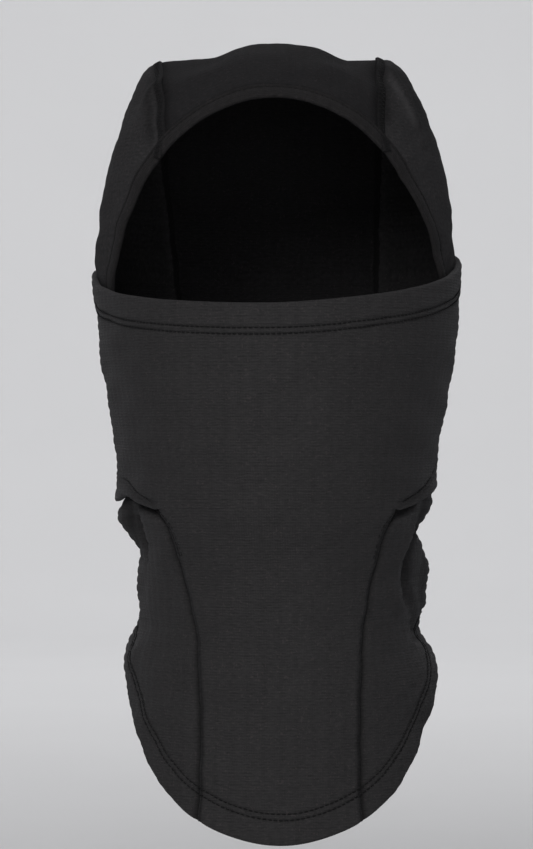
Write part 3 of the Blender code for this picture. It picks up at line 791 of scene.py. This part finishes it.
def fleece_material(name, dark, light, line_pitch=COURSE, lines=0.35, pile=1.0):
    """Grid fleece: fine knit courses and wales, a faint grid, mixed yarns, a little fuzz, and the mesh's painted
    shade and highlight.
    """
    n = Nodes(name)
    uv = n.add("UVMap", uv_map="Cloth").outputs[0]
    solid = n.add("TexCoord").outputs["Object"]
    split = n.add("SeparateXYZ")
    n.link(uv, split.inputs[0])
    across, along = split.outputs[0], split.outputs[1]
    waver = n.math("MULTIPLY", n.math("SUBTRACT", n.noise(solid, 260, 2), 0.5), 0.0011)
    along = n.math("ADD", along, waver)
    waver = n.math("MULTIPLY", n.math("SUBTRACT", n.noise(solid, 310, 2), 0.5), 0.0009)
    across = n.math("ADD", across, waver)
    course = n.wave(along, line_pitch)
    wale = n.wave(across, WALE)
    row = n.math("POWER", n.wave(along, GRID_ROW), 3.0)
    column = n.math("POWER", n.wave(n.math("ADD", across, GRID_COLUMN / 4), GRID_COLUMN), 4.0)
    yarn = n.noise(solid, 1500, 3, 0.65)
    stretch = n.add("Mapping")
    n.link(uv, stretch.inputs["Vector"])
    stretch.inputs["Scale"].default_value = (430, 1200, 1)
    streak = n.noise(stretch.outputs[0], 1, 3, 0.6)
    patch = n.noise(solid, 45, 3, 0.6)
    strength = n.spread(n.noise(solid, 120, 2), 0.35, 1.0)
    knit = n.math("MULTIPLY", n.math("MULTIPLY_ADD", wale, 0.35, n.math("MULTIPLY", course, 0.65)), strength)
    mixed = n.math("MULTIPLY_ADD", yarn, 0.35, n.math("MULTIPLY", patch, 0.3))
    tone = n.math("MULTIPLY_ADD", knit, lines, mixed)
    tone = n.math("MULTIPLY_ADD", streak, 1.15, n.math("SUBTRACT", tone, 0.36))
    # The grid's channels are painted darker: painted shade in the knit's recesses.
    channels = n.math("MULTIPLY_ADD", row, 0.2 * lines, n.math("MULTIPLY", column, 0.18 * lines))
    tone = n.math("SUBTRACT", tone, channels)
    colour = n.blend(n.math("SUBTRACT", tone, 0.12), scaled(dark, 1), scaled(light, 1))
    speck = n.math("MULTIPLY", n.math("GREATER_THAN", n.noise(solid, 900, 1), 0.67), 0.5)
    colour = n.blend(speck, colour, scaled(light, 1.35, 1.2, 1.2))
    # Painted shade and painted highlight from the mesh's attribute: above zero towards near black, below zero
    # towards a light grey.
    painted_light = n.add("Attribute", attribute_name="painted_shade_highlight").outputs["Fac"]
    colour = n.blend(n.math("MULTIPLY", painted_light, -1.0), colour, scaled(light, 1.5))
    colour = n.blend(painted_light, colour, scaled(dark, 0.15))
    n.link(colour, n.shader.inputs["Base Color"])
    n.link(n.spread(yarn, 0.82, 0.98), n.shader.inputs["Roughness"])
    n.shader.inputs["Specular IOR Level"].default_value = 0.15 * pile
    n.sheen(0.035 * pile, 0.5, (0.80, 0.80, 0.86))
    height = n.math("MULTIPLY_ADD", streak, 0.9, n.math("MULTIPLY", knit, 2 * lines))
    n.bump(n.math("MULTIPLY_ADD", yarn, 0.4, height), 0.0003, 1.0)
    return n.material


def thread_material(name, dark, light):
    """Spun thread: a fine twist, a low shine and lint."""
    n = Nodes(name)
    solid = n.add("TexCoord").outputs["Object"]
    twist = n.add("TexWave", bands_direction="DIAGONAL")
    n.link(solid, twist.inputs["Vector"])
    twist.inputs["Scale"].default_value = 900
    twist.inputs["Distortion"].default_value = 1.5
    lint = n.noise(solid, 700, 3, 0.6)
    mixed = n.math("MULTIPLY", lint, twist.outputs["Fac"])
    n.link(n.blend(mixed, scaled(dark, 1), scaled(light, 1)), n.shader.inputs["Base Color"])
    n.link(n.spread(lint, 0.65, 0.9), n.shader.inputs["Roughness"])
    n.shader.inputs["Specular IOR Level"].default_value = 0.12
    n.sheen(0.02, 0.5, (0.7, 0.7, 0.75))
    n.bump(twist.outputs["Fac"], 0.00008, 0.7)
    return n.material


def label_material():
    """Woven satin tape: fine ribs both ways."""
    n = Nodes("label_weave")
    solid = n.add("TexCoord").outputs["Object"]
    split = n.add("SeparateXYZ")
    n.link(solid, split.inputs[0])
    weave = n.math("MULTIPLY", n.wave(split.outputs[0], 0.0005), n.wave(split.outputs[2], 0.0004))
    tone = n.math("MULTIPLY_ADD", weave, 0.6, n.math("MULTIPLY", n.noise(solid, 400, 2), 0.4))
    n.link(n.blend(tone, (0.42, 0.42, 0.41, 1), (0.62, 0.62, 0.60, 1)), n.shader.inputs["Base Color"])
    n.link(n.spread(tone, 0.45, 0.7), n.shader.inputs["Roughness"])
    n.bump(weave, 0.0001, 0.6)
    return n.material


FLEECE = fleece_material("grid_fleece_look", (0.0125, 0.0122, 0.0130), (0.0350, 0.0340, 0.0350))
HOOD_FLEECE = fleece_material(
    "hood_fleece_look", (0.0160, 0.0157, 0.0166), (0.0440, 0.0432, 0.0450), lines=0.2, pile=0.2
)
# A darker copy of the hood's fleece for the crown: painted shade on the top of the head.
CROWN_SHADED_FLEECE = fleece_material(
    "crown_shaded_fleece_look", (0.0091, 0.0089, 0.0096), (0.0255, 0.0250, 0.0265), lines=0.2, pile=0.2
)
# Cloth seen edge on has finer lines.
EDGE_COURSE = 0.0009
TAPE = fleece_material(
    "binding_look", (0.0080, 0.0076, 0.0080), (0.0215, 0.0205, 0.0213), EDGE_COURSE, pile=0.6
)
SEAM_CLOTH = fleece_material(
    "seam_edges_look", (0.0062, 0.0060, 0.0065), (0.0180, 0.0176, 0.0186), EDGE_COURSE, pile=0.3
)
BLACK = thread_material("thread_look", (0.0034, 0.0034, 0.0037), (0.0115, 0.0114, 0.0120))
GREY = thread_material("flat_seam_thread_look", (0.0045, 0.0045, 0.0049), (0.0135, 0.0133, 0.0140))
LABEL = label_material()


# ---------------------------------------------------------------- the pieces


def settle(piece, *nodes, slot="fleece", body="hood"):
    """Hides the nodes that a piece stands for, and parents the piece to its body's empty, or for the mask bakes
    its place. The slot, for what it is made of, is not used.
    """
    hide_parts(*nodes)
    if body == "mask":
        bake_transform(piece)
    else:
        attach(piece, body)
    return piece


def grid_normals(surface, azimuth, z):
    """Outward normals of a surface given by azimuth and height, as it is when folded."""
    step = 0.0006
    turn = step / ROUND_HEAD
    right = folded(surface(azimuth + turn, z)) - folded(surface(azimuth - turn, z))
    up = folded(surface(azimuth, z + step)) - folded(surface(azimuth, z - step))
    return unit(np.cross(right, up))


def row_of_stitches(name, surface, azimuth, z, above, body="hood", nodes=(), radius=THREAD / 2):
    """Stitches along a line of a surface, just above the cloth's outer face."""
    points = folded(surface(azimuth, z))
    normals = grid_normals(surface, azimuth, z)
    made = stitches(name, points, normals, GREY, radius, lift=above)
    return settle(made, *nodes, slot="thread", body=body)


def make_front():
    """The bib and the mask: one cut of cloth, T-shaped, with turned edges."""
    around = BIB_CORNER * np.linspace(-1, 1, int(0.1 / ACROSS) + 1)
    low_rows = spaced_shares(0.135, ALONG, HEMMED)
    wing_rows = spaced_shares(0.095, ALONG, HEMMED, HEMMED)

    # The bib below its corners, then the mask above it. The bib's width and its height depend on each other.
    share = around / BIB_CORNER
    rows = []
    for t in low_rows:
        z = np.full_like(around, BIB_CORNER_Z)
        for _ in range(8):
            azimuth = share * bib_side(z)
            z = bottom(azimuth) + (BIB_CORNER_Z - bottom(azimuth)) * t
        rows.append(np.stack((azimuth, z), -1))
    for t in wing_rows[1:]:
        rows.append(np.stack((around, BIB_CORNER_Z + (mask_top(around) - BIB_CORNER_Z) * t), -1))
    middle = np.array(rows)
    edge = len(low_rows) - 1

    # The wings continue the mask's rows to either side.
    reach = spaced_shares(ROUND_MASK, ACROSS, (), SEWN, WING_REAR - BIB_CORNER)[1:]
    wings = []
    for side, _ in SIDES:
        azimuth = side * (BIB_CORNER + reach)
        azimuth = azimuth[::-1] if side < 0 else azimuth
        low, high = wing_edge(azimuth), mask_top(azimuth)
        z = low + (high - low) * wing_rows[:, None]
        wings.append(np.stack(np.broadcast_arrays(azimuth, z), -1))

    rows_count, columns = middle.shape[:2]
    wing_columns = len(reach)
    index = np.arange(rows_count * columns).reshape(rows_count, columns)
    left = rows_count * columns + np.arange(len(wing_rows) * wing_columns).reshape(-1, wing_columns)
    right = left + left.size
    faces = np.vstack(
        (
            grid_faces(index),
            grid_faces(np.hstack((left, index[edge:, :1]))),
            grid_faces(np.hstack((index[edge:, -1:], right))),
        )
    )
    places = np.vstack((middle.reshape(-1, 2), wings[0].reshape(-1, 2), wings[1].reshape(-1, 2)))
    azimuth, z = places.T
    points = folded(on_bib(azimuth, z))
    cloth = Cloth(points, faces, azimuth * ROUND_FRONT, z, 0.0003)
    is_wing = np.arange(len(z)) >= rows_count * columns
    cloth.hem(mask_top(azimuth) - z)
    below_corner = ~is_wing & (z < BIB_CORNER_Z + 0.001)
    has_edge = (is_wing | (np.abs(azimuth) > BIB_CORNER - 1e-6)) & ~below_corner
    above_edge = z - wing_edge(azimuth)
    cloth.hem(np.where(has_edge, above_edge / wing_hem_part(azimuth), FAR), rows=())
    # The wing hem's rows of stitches press in, with painted shade along them.
    for row in wing_row_heights(azimuth):
        cloth.groove(np.where(has_edge, above_edge - row, FAR), ROW_DEEP, ROW_WIDE, 0.35)
    cloth.fold(np.where(has_edge, above_edge, FAR), HEM / 2)
    cloth.hem(np.where(~is_wing, (z - bottom(azimuth)) / slant(azimuth), FAR))
    from_side = (bib_side(z) - np.abs(azimuth)) * ROUND_BIB
    from_seam = np.where(~is_wing & (z <= BIB_CORNER_Z), from_side, FAR)
    cloth.sewn(from_seam)
    cloth.sewn((WING_REAR - np.abs(azimuth)) * ROUND_MASK, 0.0003)
    # A faint groove beside the bib's seam, with a little painted shade along it.
    upper = np.where(z > BIB_ROWS_END - 0.001, from_seam, FAR)
    cloth.groove(upper - 0.0030, 0.0003, 0.0014, 0.08)
    front = cloth.make("front_cloth", FLEECE)
    nodes = ("bib_panel", "bottom_hem_bib", "mask_panel", "mask_top_hem", "wing_hem_left", "wing_hem_right")
    settle(front, *nodes, body="mask")


def make_mask_stitches():
    rear = WING_REAR - 0.02
    azimuth = np.linspace(-rear, rear, 400)
    for up, name in zip(ROWS_UP, ("upper", "lower")):
        z = mask_top(azimuth) - up
        nodes = [f"mask_top_stitching_{name}"]
        row_of_stitches(f"mask_top_stitches_{name}", on_bib, azimuth, z, HEM_FACE, "mask", nodes)
    for side, name in SIDES:
        for row, place in enumerate(("lower", "upper")):
            wing = np.linspace(rear, BIB_CORNER + 0.05, 150)
            height = wing_edge(side * wing) + wing_row_heights(wing)[row]
            bib = np.linspace(BIB_CORNER_Z - 0.004, BIB_ROWS_END, 40)
            beside = 0.0021 + row * (0.0012 + 0.0006 * ease(bib, BIB_ROWS_END, BIB_CORNER_Z))
            beside_bib = np.stack((bib_side(bib) - beside / ROUND_BIB, bib), 1)
            path = np.vstack((np.stack((wing, height), 1), beside_bib))
            path, _ = resampled(np.insert(path * (ROUND_MASK, 1), 2, 0, axis=1), 0.0004)
            across, z, _ = rounded_path(path, 14).T
            azimuth = side * across / ROUND_MASK
            nodes = [f"wing_stitching_{name}_{place}"]
            title = f"wing_stitches_{name}_{place}"
            row_of_stitches(title, on_bib, azimuth, z, 0.0005, "mask", nodes, WING_THREAD / 2)


def make_neck_sides():
    for side, name in SIDES:
        shares = spaced_shares(0.11, ACROSS, SEWN, SEWN)
        rows = []
        for t in spaced_shares(0.1, ALONG, HEMMED, SEWN):
            z = np.full(len(shares), -0.15)
            for _ in range(10):
                start = bib_side(z) - NECK_TUCK * ease(z, *NECK_TUCK_Z)
                azimuth = start * (1 - shares) + NECK_SEAM * shares
                z = bottom(azimuth) + (nape_line(azimuth) - bottom(azimuth)) * t
            rows.append(np.stack((side * azimuth, z), -1))
        places = np.array(rows)[:, ::side]
        azimuth, z = places[..., 0], places[..., 1]
        grid = folded(on_neck(azimuth, z))
        cloth = grid_cloth(grid, azimuth * ROUND_NECK, z + 0.3, outside=0.00042)
        azimuth, z = azimuth.ravel(), z.ravel()
        cloth.hem((z - bottom(azimuth)) / slant(azimuth))
        cloth.sewn((np.abs(azimuth) - bib_side(z)) * ROUND_BIB)
        cloth.sewn((NECK_SEAM - np.abs(azimuth)) * ROUND_NECK_SEAM)
        cloth.sewn(nape_line(azimuth) - z)
        piece = cloth.make(f"neck_cloth_{name}", FLEECE)
        settle(piece, f"neck_side_{name}", f"bottom_hem_neck_{name}")


def make_neck_back():
    around = spaced_shares(ROUND_NECK, ACROSS, SEWN, SEWN, 2 * (np.pi - NECK_SEAM)) + NECK_SEAM
    rows = spaced_shares(0.08, ALONG, HEMMED, SEWN)[:, None]
    signed = wrapped(around)
    low, high = bottom(signed), nape_line(signed)
    z = low + (high - low) * rows
    azimuth = np.broadcast_to(signed, z.shape)
    grid = folded(on_hood(azimuth, z))
    cloth = grid_cloth(grid, np.broadcast_to(around, z.shape) * ROUND_NECK, z + 0.3, outside=0.0004)
    azimuth, z = azimuth.ravel(), z.ravel()
    cloth.hem((z - bottom(azimuth)) / slant(azimuth))
    cloth.sewn((np.abs(azimuth) - NECK_SEAM) * ROUND_NECK_SEAM)
    cloth.sewn(nape_line(azimuth) - z)
    settle(cloth.make("neck_cloth_back", FLEECE), "neck_back", "bottom_hem_back")


def make_neck_seams():
    around = np.linspace(-np.pi + 0.01, np.pi - 0.01, 900)
    for up, name in zip(ROWS_UP, ("lower", "upper")):
        z = bottom(around) + up * slant(around)
        nodes = [f"bottom_stitching_{name}"]
        row_of_stitches(f"bottom_stitches_{name}", on_neck_or_bib, around, z, HEM_FACE, nodes=nodes)
    for side, name in SIDES:
        z = np.linspace(float(bottom(bib_side(-0.2345))) + 0.0015, BIB_CORNER_Z - 0.001, 160)
        seam_cord(f"bib_seam_cord_{name}", on_bib, side * bib_side(z), z, f"bib_seam_{name}")
        z = np.linspace(float(bottom(NECK_SEAM)) + 0.002, nape_line(NECK_SEAM) - 0.001, 80)
        seam_cord(f"neck_seam_cord_{name}", on_hood, side * NECK_SEAM + 0 * z, z, f"neck_seam_{name}")
    around = wrapped(np.linspace(JAW_AZIMUTH, 2 * np.pi - JAW_AZIMUTH, 300))
    seam_cord("nape_seam_cord", on_neck, around, nape_line(around), "nape_seam")
    row_of_stitches("nape_stitches", on_neck, around, nape_line(around) + 0.0022, FABRIC / 2 - 0.0001)


def seam_cord(name, surface, azimuth, z, node):
    """The bottom of a plain seam: the overlocked edges inside it, and the needle thread between them."""
    points = folded(surface(azimuth, z))
    normals = grid_normals(surface, azimuth, z)
    path, _ = resampled(points - normals * 0.0026, 0.0012)
    inside = unit(respread(normals, len(path)))
    made = tubes(name, path[None], inside[None], 0.0011, BLACK, flat=1.0)
    settle(made, node, slot="thread")
    needle = dict(radius=0.0004, pitch=0.0022, long=0.0021, lift=-0.0017)
    settle(stitches(name + "_stitches", points, normals, BLACK, **needle), slot="thread")


def crown_half_width(side, station):
    right, left = np.moveaxis(crown_half_widths(station), -1, 0)
    return np.where(np.asarray(side) > 0, left, right)


def crown_point(side, station, edge_x, edge_z):
    """Points of the crown strip: side runs from -1 to 1, and station from the brow at 0 to the nape at 1."""
    x = side * crown_half_width(side, station)
    top = TO_CROWN * (1 - (np.abs(x) / HALF_WIDTH) ** DOME_POWER) ** (1 / DOME_POWER)
    start = np.arcsin(np.clip(np.interp(np.abs(x), edge_x, edge_z) / top, 0, 1) ** (DOME_POWER / 2))
    angle = start + (np.pi - start) * np.clip(station / LEVEL_STATION, 0, 1)
    high = top * np.maximum(np.sin(angle), 0) ** (2 / DOME_POWER)
    shrink = np.maximum(1 - (high / TO_CROWN) ** DOME_POWER, 0) ** (1 / DOME_POWER)
    inside = np.maximum(shrink**PLAN_POWER - (np.abs(x) / HALF_WIDTH) ** PLAN_POWER, 0) ** (1 / PLAN_POWER)
    y = np.where(angle < np.pi / 2, -TO_BROW, TO_BACK) * inside
    low = NAPE_Z * np.clip((station - LEVEL_STATION) / (1 - LEVEL_STATION), 0, 1)
    half_width, _, back, centre = np.moveaxis(hood_ring(low), -1, 0)
    y_low = centre + back * (1 - (np.abs(x) / half_width) ** PLAN_POWER) ** (1 / PLAN_POWER)
    over = station < LEVEL_STATION
    return np.stack((x, np.where(over, y, y_low), np.where(over, high, low)), axis=-1)


# The ridge beside each crown seam: the station where it ends, then how far outside the seam the hood stands out
# most, how much, and the ridge's width inside and outside of that.
RIDGE_END = 0.8
RIDGE_RIGHT = (0.0035, 0.0053, 0.0085, 0.0130)
RIDGE_LEFT = (0.0047, 0.0053, 0.0078, 0.0165)


def seam_ridge(off, station, side):
    """How far the hood stands out beside a crown seam, most at the top of the head."""
    left = np.asarray(side)[..., None] > 0
    shift, rise, inside, outside = np.moveaxis(np.where(left, RIDGE_LEFT, RIDGE_RIGHT), -1, 0)
    spread = np.where(off < shift, inside, outside)
    along = np.sin(np.pi * np.clip(station / RIDGE_END, 0, 1)) ** 1.2
    return rise * np.exp(-(((off - shift) / spread) ** 2)) * along


def raised(points, amount):
    return points + hood_normal(points) * np.asarray(amount)[..., None]


def make_hood():
    turns = np.linspace(0, 0.5, 400)
    edge = beside_opening(turns, UNDER_BINDING)
    above = edge[:, 2] > 0
    edge_x, edge_z = edge[above, 0], edge[above, 2]
    stations = spaced_shares(0.4, ALONG, FOLDED, SEWN)
    make_crown(stations, edge_x, edge_z)
    for side, name in SIDES:
        base = crown_point(np.full(len(stations), float(side)), stations, edge_x, edge_z)
        brow_x = float(crown_half_width(side, 0.0))
        brow_turn = float(np.interp(brow_x, edge_x, turns[above]))
        make_hood_side(side, name, stations, base, brow_turn)
        make_crown_seam(side, name, stations, base, brow_x)


def make_crown(stations, edge_x, edge_z):
    shares = spaced_shares(0.05, ACROSS, SEWN, SEWN, 2) - 1
    station, share = np.meshgrid(stations, shares, indexing="ij")
    half_width = crown_half_width(share, station)
    scale = 1 - SEAM_HALF / half_width
    grid = crown_point(share * scale, station, edge_x, edge_z)
    off = (np.abs(share) * scale - 1) * half_width
    grid = folded(raised(grid, seam_ridge(off, station, share)))
    cloth = grid_cloth(grid, share * half_width, 0.40 * station, outside=0.00012)
    cloth.sewn(-off.ravel() - SEAM_HALF, *FLAT_SEAM_DIP)
    cloth.sewn(lengths(grid, 0).ravel(), 0.0004)
    cloth.sewn(lengths(grid[::-1], 0)[::-1].ravel())
    settle(cloth.make("crown_cloth", CROWN_SHADED_FLEECE), "crown_panel")


def make_hood_side(side, name, stations, base, brow_turn):
    """One side of the hood, from the crown's seam at base to the face opening."""
    along = unit(np.gradient(base, axis=0))
    across = unit(np.cross(along, hood_normal(base)))
    across *= side * np.sign(across[len(base) // 2, 0])
    start = base + across * SEAM_HALF
    start[-1] = on_hood(place_on_hood(start[-1])[0], NAPE_Z)
    lift = np.linspace(0, 1, len(stations)) ** (1 / 1.3)
    front = beside_opening(side * (brow_turn + (BINDING_ENDS - brow_turn) * lift), UNDER_BINDING)
    corner = on_hood(side * JAW_AZIMUTH, NAPE_FRONT_Z)
    front = mix(front, corner, ease(lift, 0.93, 1.0))
    a, b = (np.stack(place_on_hood(p), -1) for p in (start, front))
    steps = spaced_shares(0.09, ACROSS, SEWN, SEWN)
    places = a[:, None] + (b - a)[:, None] * steps[None, :, None]
    grid = on_hood(places[..., 0], places[..., 1])
    off = lengths(grid, 1) + SEAM_HALF
    grid = folded(raised(grid, seam_ridge(off, stations[:, None], side)))
    grid = grid[::-1, ::-side]
    around, level = np.moveaxis(places[::-1, ::-side], -1, 0)
    cloth = grid_cloth(grid, around * ROUND_HOOD, level, outside=0.00016)
    from_seam, from_face = lengths(grid, 1), lengths(grid[:, ::-1], 1)[:, ::-1]
    if side > 0:
        from_seam, from_face = from_face, from_seam
    cloth.sewn(from_seam.ravel(), *FLAT_SEAM_DIP)
    cloth.sewn(from_face.ravel(), 0.0004)
    cloth.sewn(lengths(grid, 0).ravel())
    settle(cloth.make(f"hood_cloth_{name}", HOOD_FLEECE), f"hood_side_{name}")


def make_crown_seam(side, name, stations, base, brow_x):
    """The flat seam, which starts with a short stub over the binding."""
    path = raised(base, seam_ridge(0 * stations, stations, side))
    stub_turn = np.arcsin((brow_x + 0.002) / OPENING_HALF_WIDTH) / (2 * np.pi)
    stub = mix(opening(side * stub_turn), path[3], np.linspace(0.08, 1, 9))[:-1]
    stub = raised(stub, 0.0010 * ease(np.linspace(0, 1, 9)[:-1], 1.0, 0.6))
    path = folded(np.vstack((stub, path[3:-2])))
    make_flat_seam(f"crown_seam_threads_{name}", path, FLAT_SEAM_WIDE, f"crown_seam_{name}")


def make_flat_seam(name, path, wide, node):
    """A band of cloth edges under a ladder of threads."""
    path, _ = resampled(path, 0.0012)
    normals = hood_normal(path)
    band = ladder(name, path + normals * (FABRIC / 2 - 0.0003), normals, BLACK, wide * 0.9)
    settle(band, node, slot="thread")
    along = unit(np.gradient(path, axis=0))
    across = unit(np.cross(along, normals))
    steps = np.linspace(-1, 1, 11)
    grid = path[:, None] + across[:, None] * (steps * wide * 0.46)[None, :, None]
    cloth = grid_cloth(grid if facing(grid) > 0 else grid[:, ::-1])
    cloth.outer += 0.0001
    cloth.fold((1 - np.abs(np.tile(steps, len(path)))) * wide * 0.46, 0.0008)
    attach(cloth.make(name.replace("threads", "band"), SEAM_CLOTH), "hood")


def facing(grid):
    normal = np.cross(grid[:, 1:] - grid[:, :-1], hood_normal(grid[:, :-1]))
    return -1 if (normal[:-1] * np.diff(grid[:, :-1], axis=0)).sum() > 0 else 1


def make_binding():
    turns = np.linspace(-BINDING_ENDS, BINDING_ENDS, int(0.46 / ACROSS))
    steps = spaced(BINDING_WIDE, 0.0007, FOLDED[:-1], FOLDED[:-1])
    grid = beside_opening(turns[None, :], steps[::-1, None])
    grid[-1] = opening(turns)
    cloth = grid_cloth(folded(grid)[:, ::-1] if facing(grid) < 0 else folded(grid))
    cloth.outer += (BINDING_THICK - FABRIC) / 2
    cloth.inner += (BINDING_THICK - FABRIC) / 2
    from_edge = np.repeat(steps[::-1], len(turns))
    # The binding's row of stitches presses in, with painted shade along it.
    cloth.groove(from_edge - BINDING_ROW, 0.0003, 0.0006, 0.2)
    cloth.fold(from_edge, BINDING_THICK / 2)
    cloth.fold(BINDING_WIDE - from_edge, 0.0006)
    settle(cloth.make("face_binding_tape", TAPE), "face_binding", slot="binding")
    row = folded(beside_opening(turns[4:-4], BINDING_ROW))
    made = stitches("face_binding_stitches", row, hood_normal(row), GREY, lift=BINDING_THICK / 2 - 0.0004)
    settle(made, "face_binding_stitching", slot="thread")


def make_wing_seams():
    for side, name in SIDES:
        azimuth = side * (WING_REAR + 0.006)
        z = np.linspace(float(wing_edge(azimuth)), float(mask_top(azimuth)), 100)
        path = on_bib(0 * z + azimuth, z)
        normals = grid_normals(on_hood, 0 * z + azimuth, z)
        made = ladder(f"wing_seam_threads_{name}", path + normals * 0.0004, normals, BLACK, 0.0034)
        settle(made, f"wing_seam_{name}", slot="thread")


def make_label():
    top, low = NAPE_Z - 0.002, NAPE_Z - 0.024
    z = np.linspace(top, low, 40)[::-1]
    x = np.linspace(-0.015, 0.015, 31)
    half_width, _, back, centre = np.moveaxis(hood_ring(z), -1, 0)
    wide = (1 - (np.abs(x)[None, :] / half_width[:, None]) ** PLAN_POWER) ** (1 / PLAN_POWER)
    hangs_free = 0.0018 * ease(z, NAPE_Z - 0.006, low)
    y = centre[:, None] + (back[:, None] - 0.0022) * wide - hangs_free[:, None]
    grid = np.stack((np.broadcast_to(x, y.shape), y, np.broadcast_to(z[:, None], y.shape)), -1)[:, ::-1]
    cloth = grid_cloth(grid)
    cloth.outer = np.full(len(cloth.points), 0.0002)
    cloth.inner = np.full(len(cloth.points), 0.0002)
    settle(cloth.make("care_label_tape", LABEL), "care_label", slot="label")


# ---------------------------------------------------------------- the studio


# The paper lies flat behind and before the object, then curves up into a wall. These are in Y and Z.
FLOOR_Z = -0.34
PAPER_HALF_WIDTH = 7.0
PAPER_FRONT, PAPER_BEND, BEND_RADIUS, PAPER_TOP = -6.0, 3.4, 1.4, 6.0
AIM = (0, 0, -0.05)


def area_light(name, at, towards, size, power, colour=(1, 1, 1)):
    data = bpy.data.lights.new(name, "AREA")
    data.shape, data.size, data.size_y = "RECTANGLE", size[0], size[1]
    data.energy, data.color = power, colour
    made = add_object(name, data)
    made.location = at
    made.rotation_euler = Vector(np.subtract(towards, at)).to_track_quat("-Z", "Y").to_euler()


def make_studio():
    profile = [(PAPER_FRONT, FLOOR_Z), (PAPER_BEND, FLOOR_Z)]
    for turn in np.linspace(0, np.pi / 2, 24)[1:]:
        y = PAPER_BEND + BEND_RADIUS * np.sin(turn)
        profile.append((y, FLOOR_Z + BEND_RADIUS * (1 - np.cos(turn))))
    profile.append((PAPER_BEND + BEND_RADIUS, PAPER_TOP))
    grid = np.array([[(x, y, z) for x in (-PAPER_HALF_WIDTH, PAPER_HALF_WIDTH)] for y, z in profile])
    paper = Nodes("backdrop_paper")
    solid = paper.add("TexCoord").outputs["Object"]
    tone = paper.noise(solid, 3, 2)
    grey = paper.blend(tone, (0.60, 0.60, 0.61, 1), (0.63, 0.63, 0.64, 1))
    paper.link(grey, paper.shader.inputs["Base Color"])
    paper.shader.inputs["Roughness"].default_value = 0.9
    faces = grid_faces(np.arange(grid.size // 3).reshape(len(grid), 2))
    add_mesh("backdrop", grid.reshape(-1, 3), faces.tolist(), paper.material)

    world = bpy.data.worlds.new("studio")
    bpy.context.scene.world = world
    world.use_nodes = True
    sky = world.node_tree.nodes["Background"]
    sky.inputs["Color"].default_value = (0.93, 0.95, 1.0, 1)
    sky.inputs["Strength"].default_value = 0.13
    area_light("key", (-0.40, -2.4, 1.15), AIM, (1.3, 1.1), 46, (1.0, 0.985, 0.97))
    area_light("fill", (0.2, -2.5, -0.2), AIM, (1.0, 1.0), 9)
    area_light("background", (0.0, 1.6, 3.0), (0, PAPER_BEND + BEND_RADIUS, 0.1), (5.0, 1.4), 104)
    area_light("floor", (0.0, 3.4, 3.0), (0, 2.4, FLOOR_Z), (4.0, 1.0), 30)
    bpy.context.scene.view_settings.view_transform = "Standard"


def make_camera():
    data = bpy.data.cameras.new("camera")
    data.lens, data.sensor_width, data.sensor_height = 179.8, 36, 36
    data.clip_end = 50
    made = add_object("camera", data)
    made.location = (-0.0047, -1.9, -0.067)
    made.rotation_euler = (np.pi / 2, 0, 0)
    bpy.context.scene.camera = made


make_front()
make_mask_stitches()
make_neck_sides()
make_neck_back()
make_neck_seams()
make_hood()
make_binding()
make_wing_seams()
make_label()
make_studio()
make_camera()
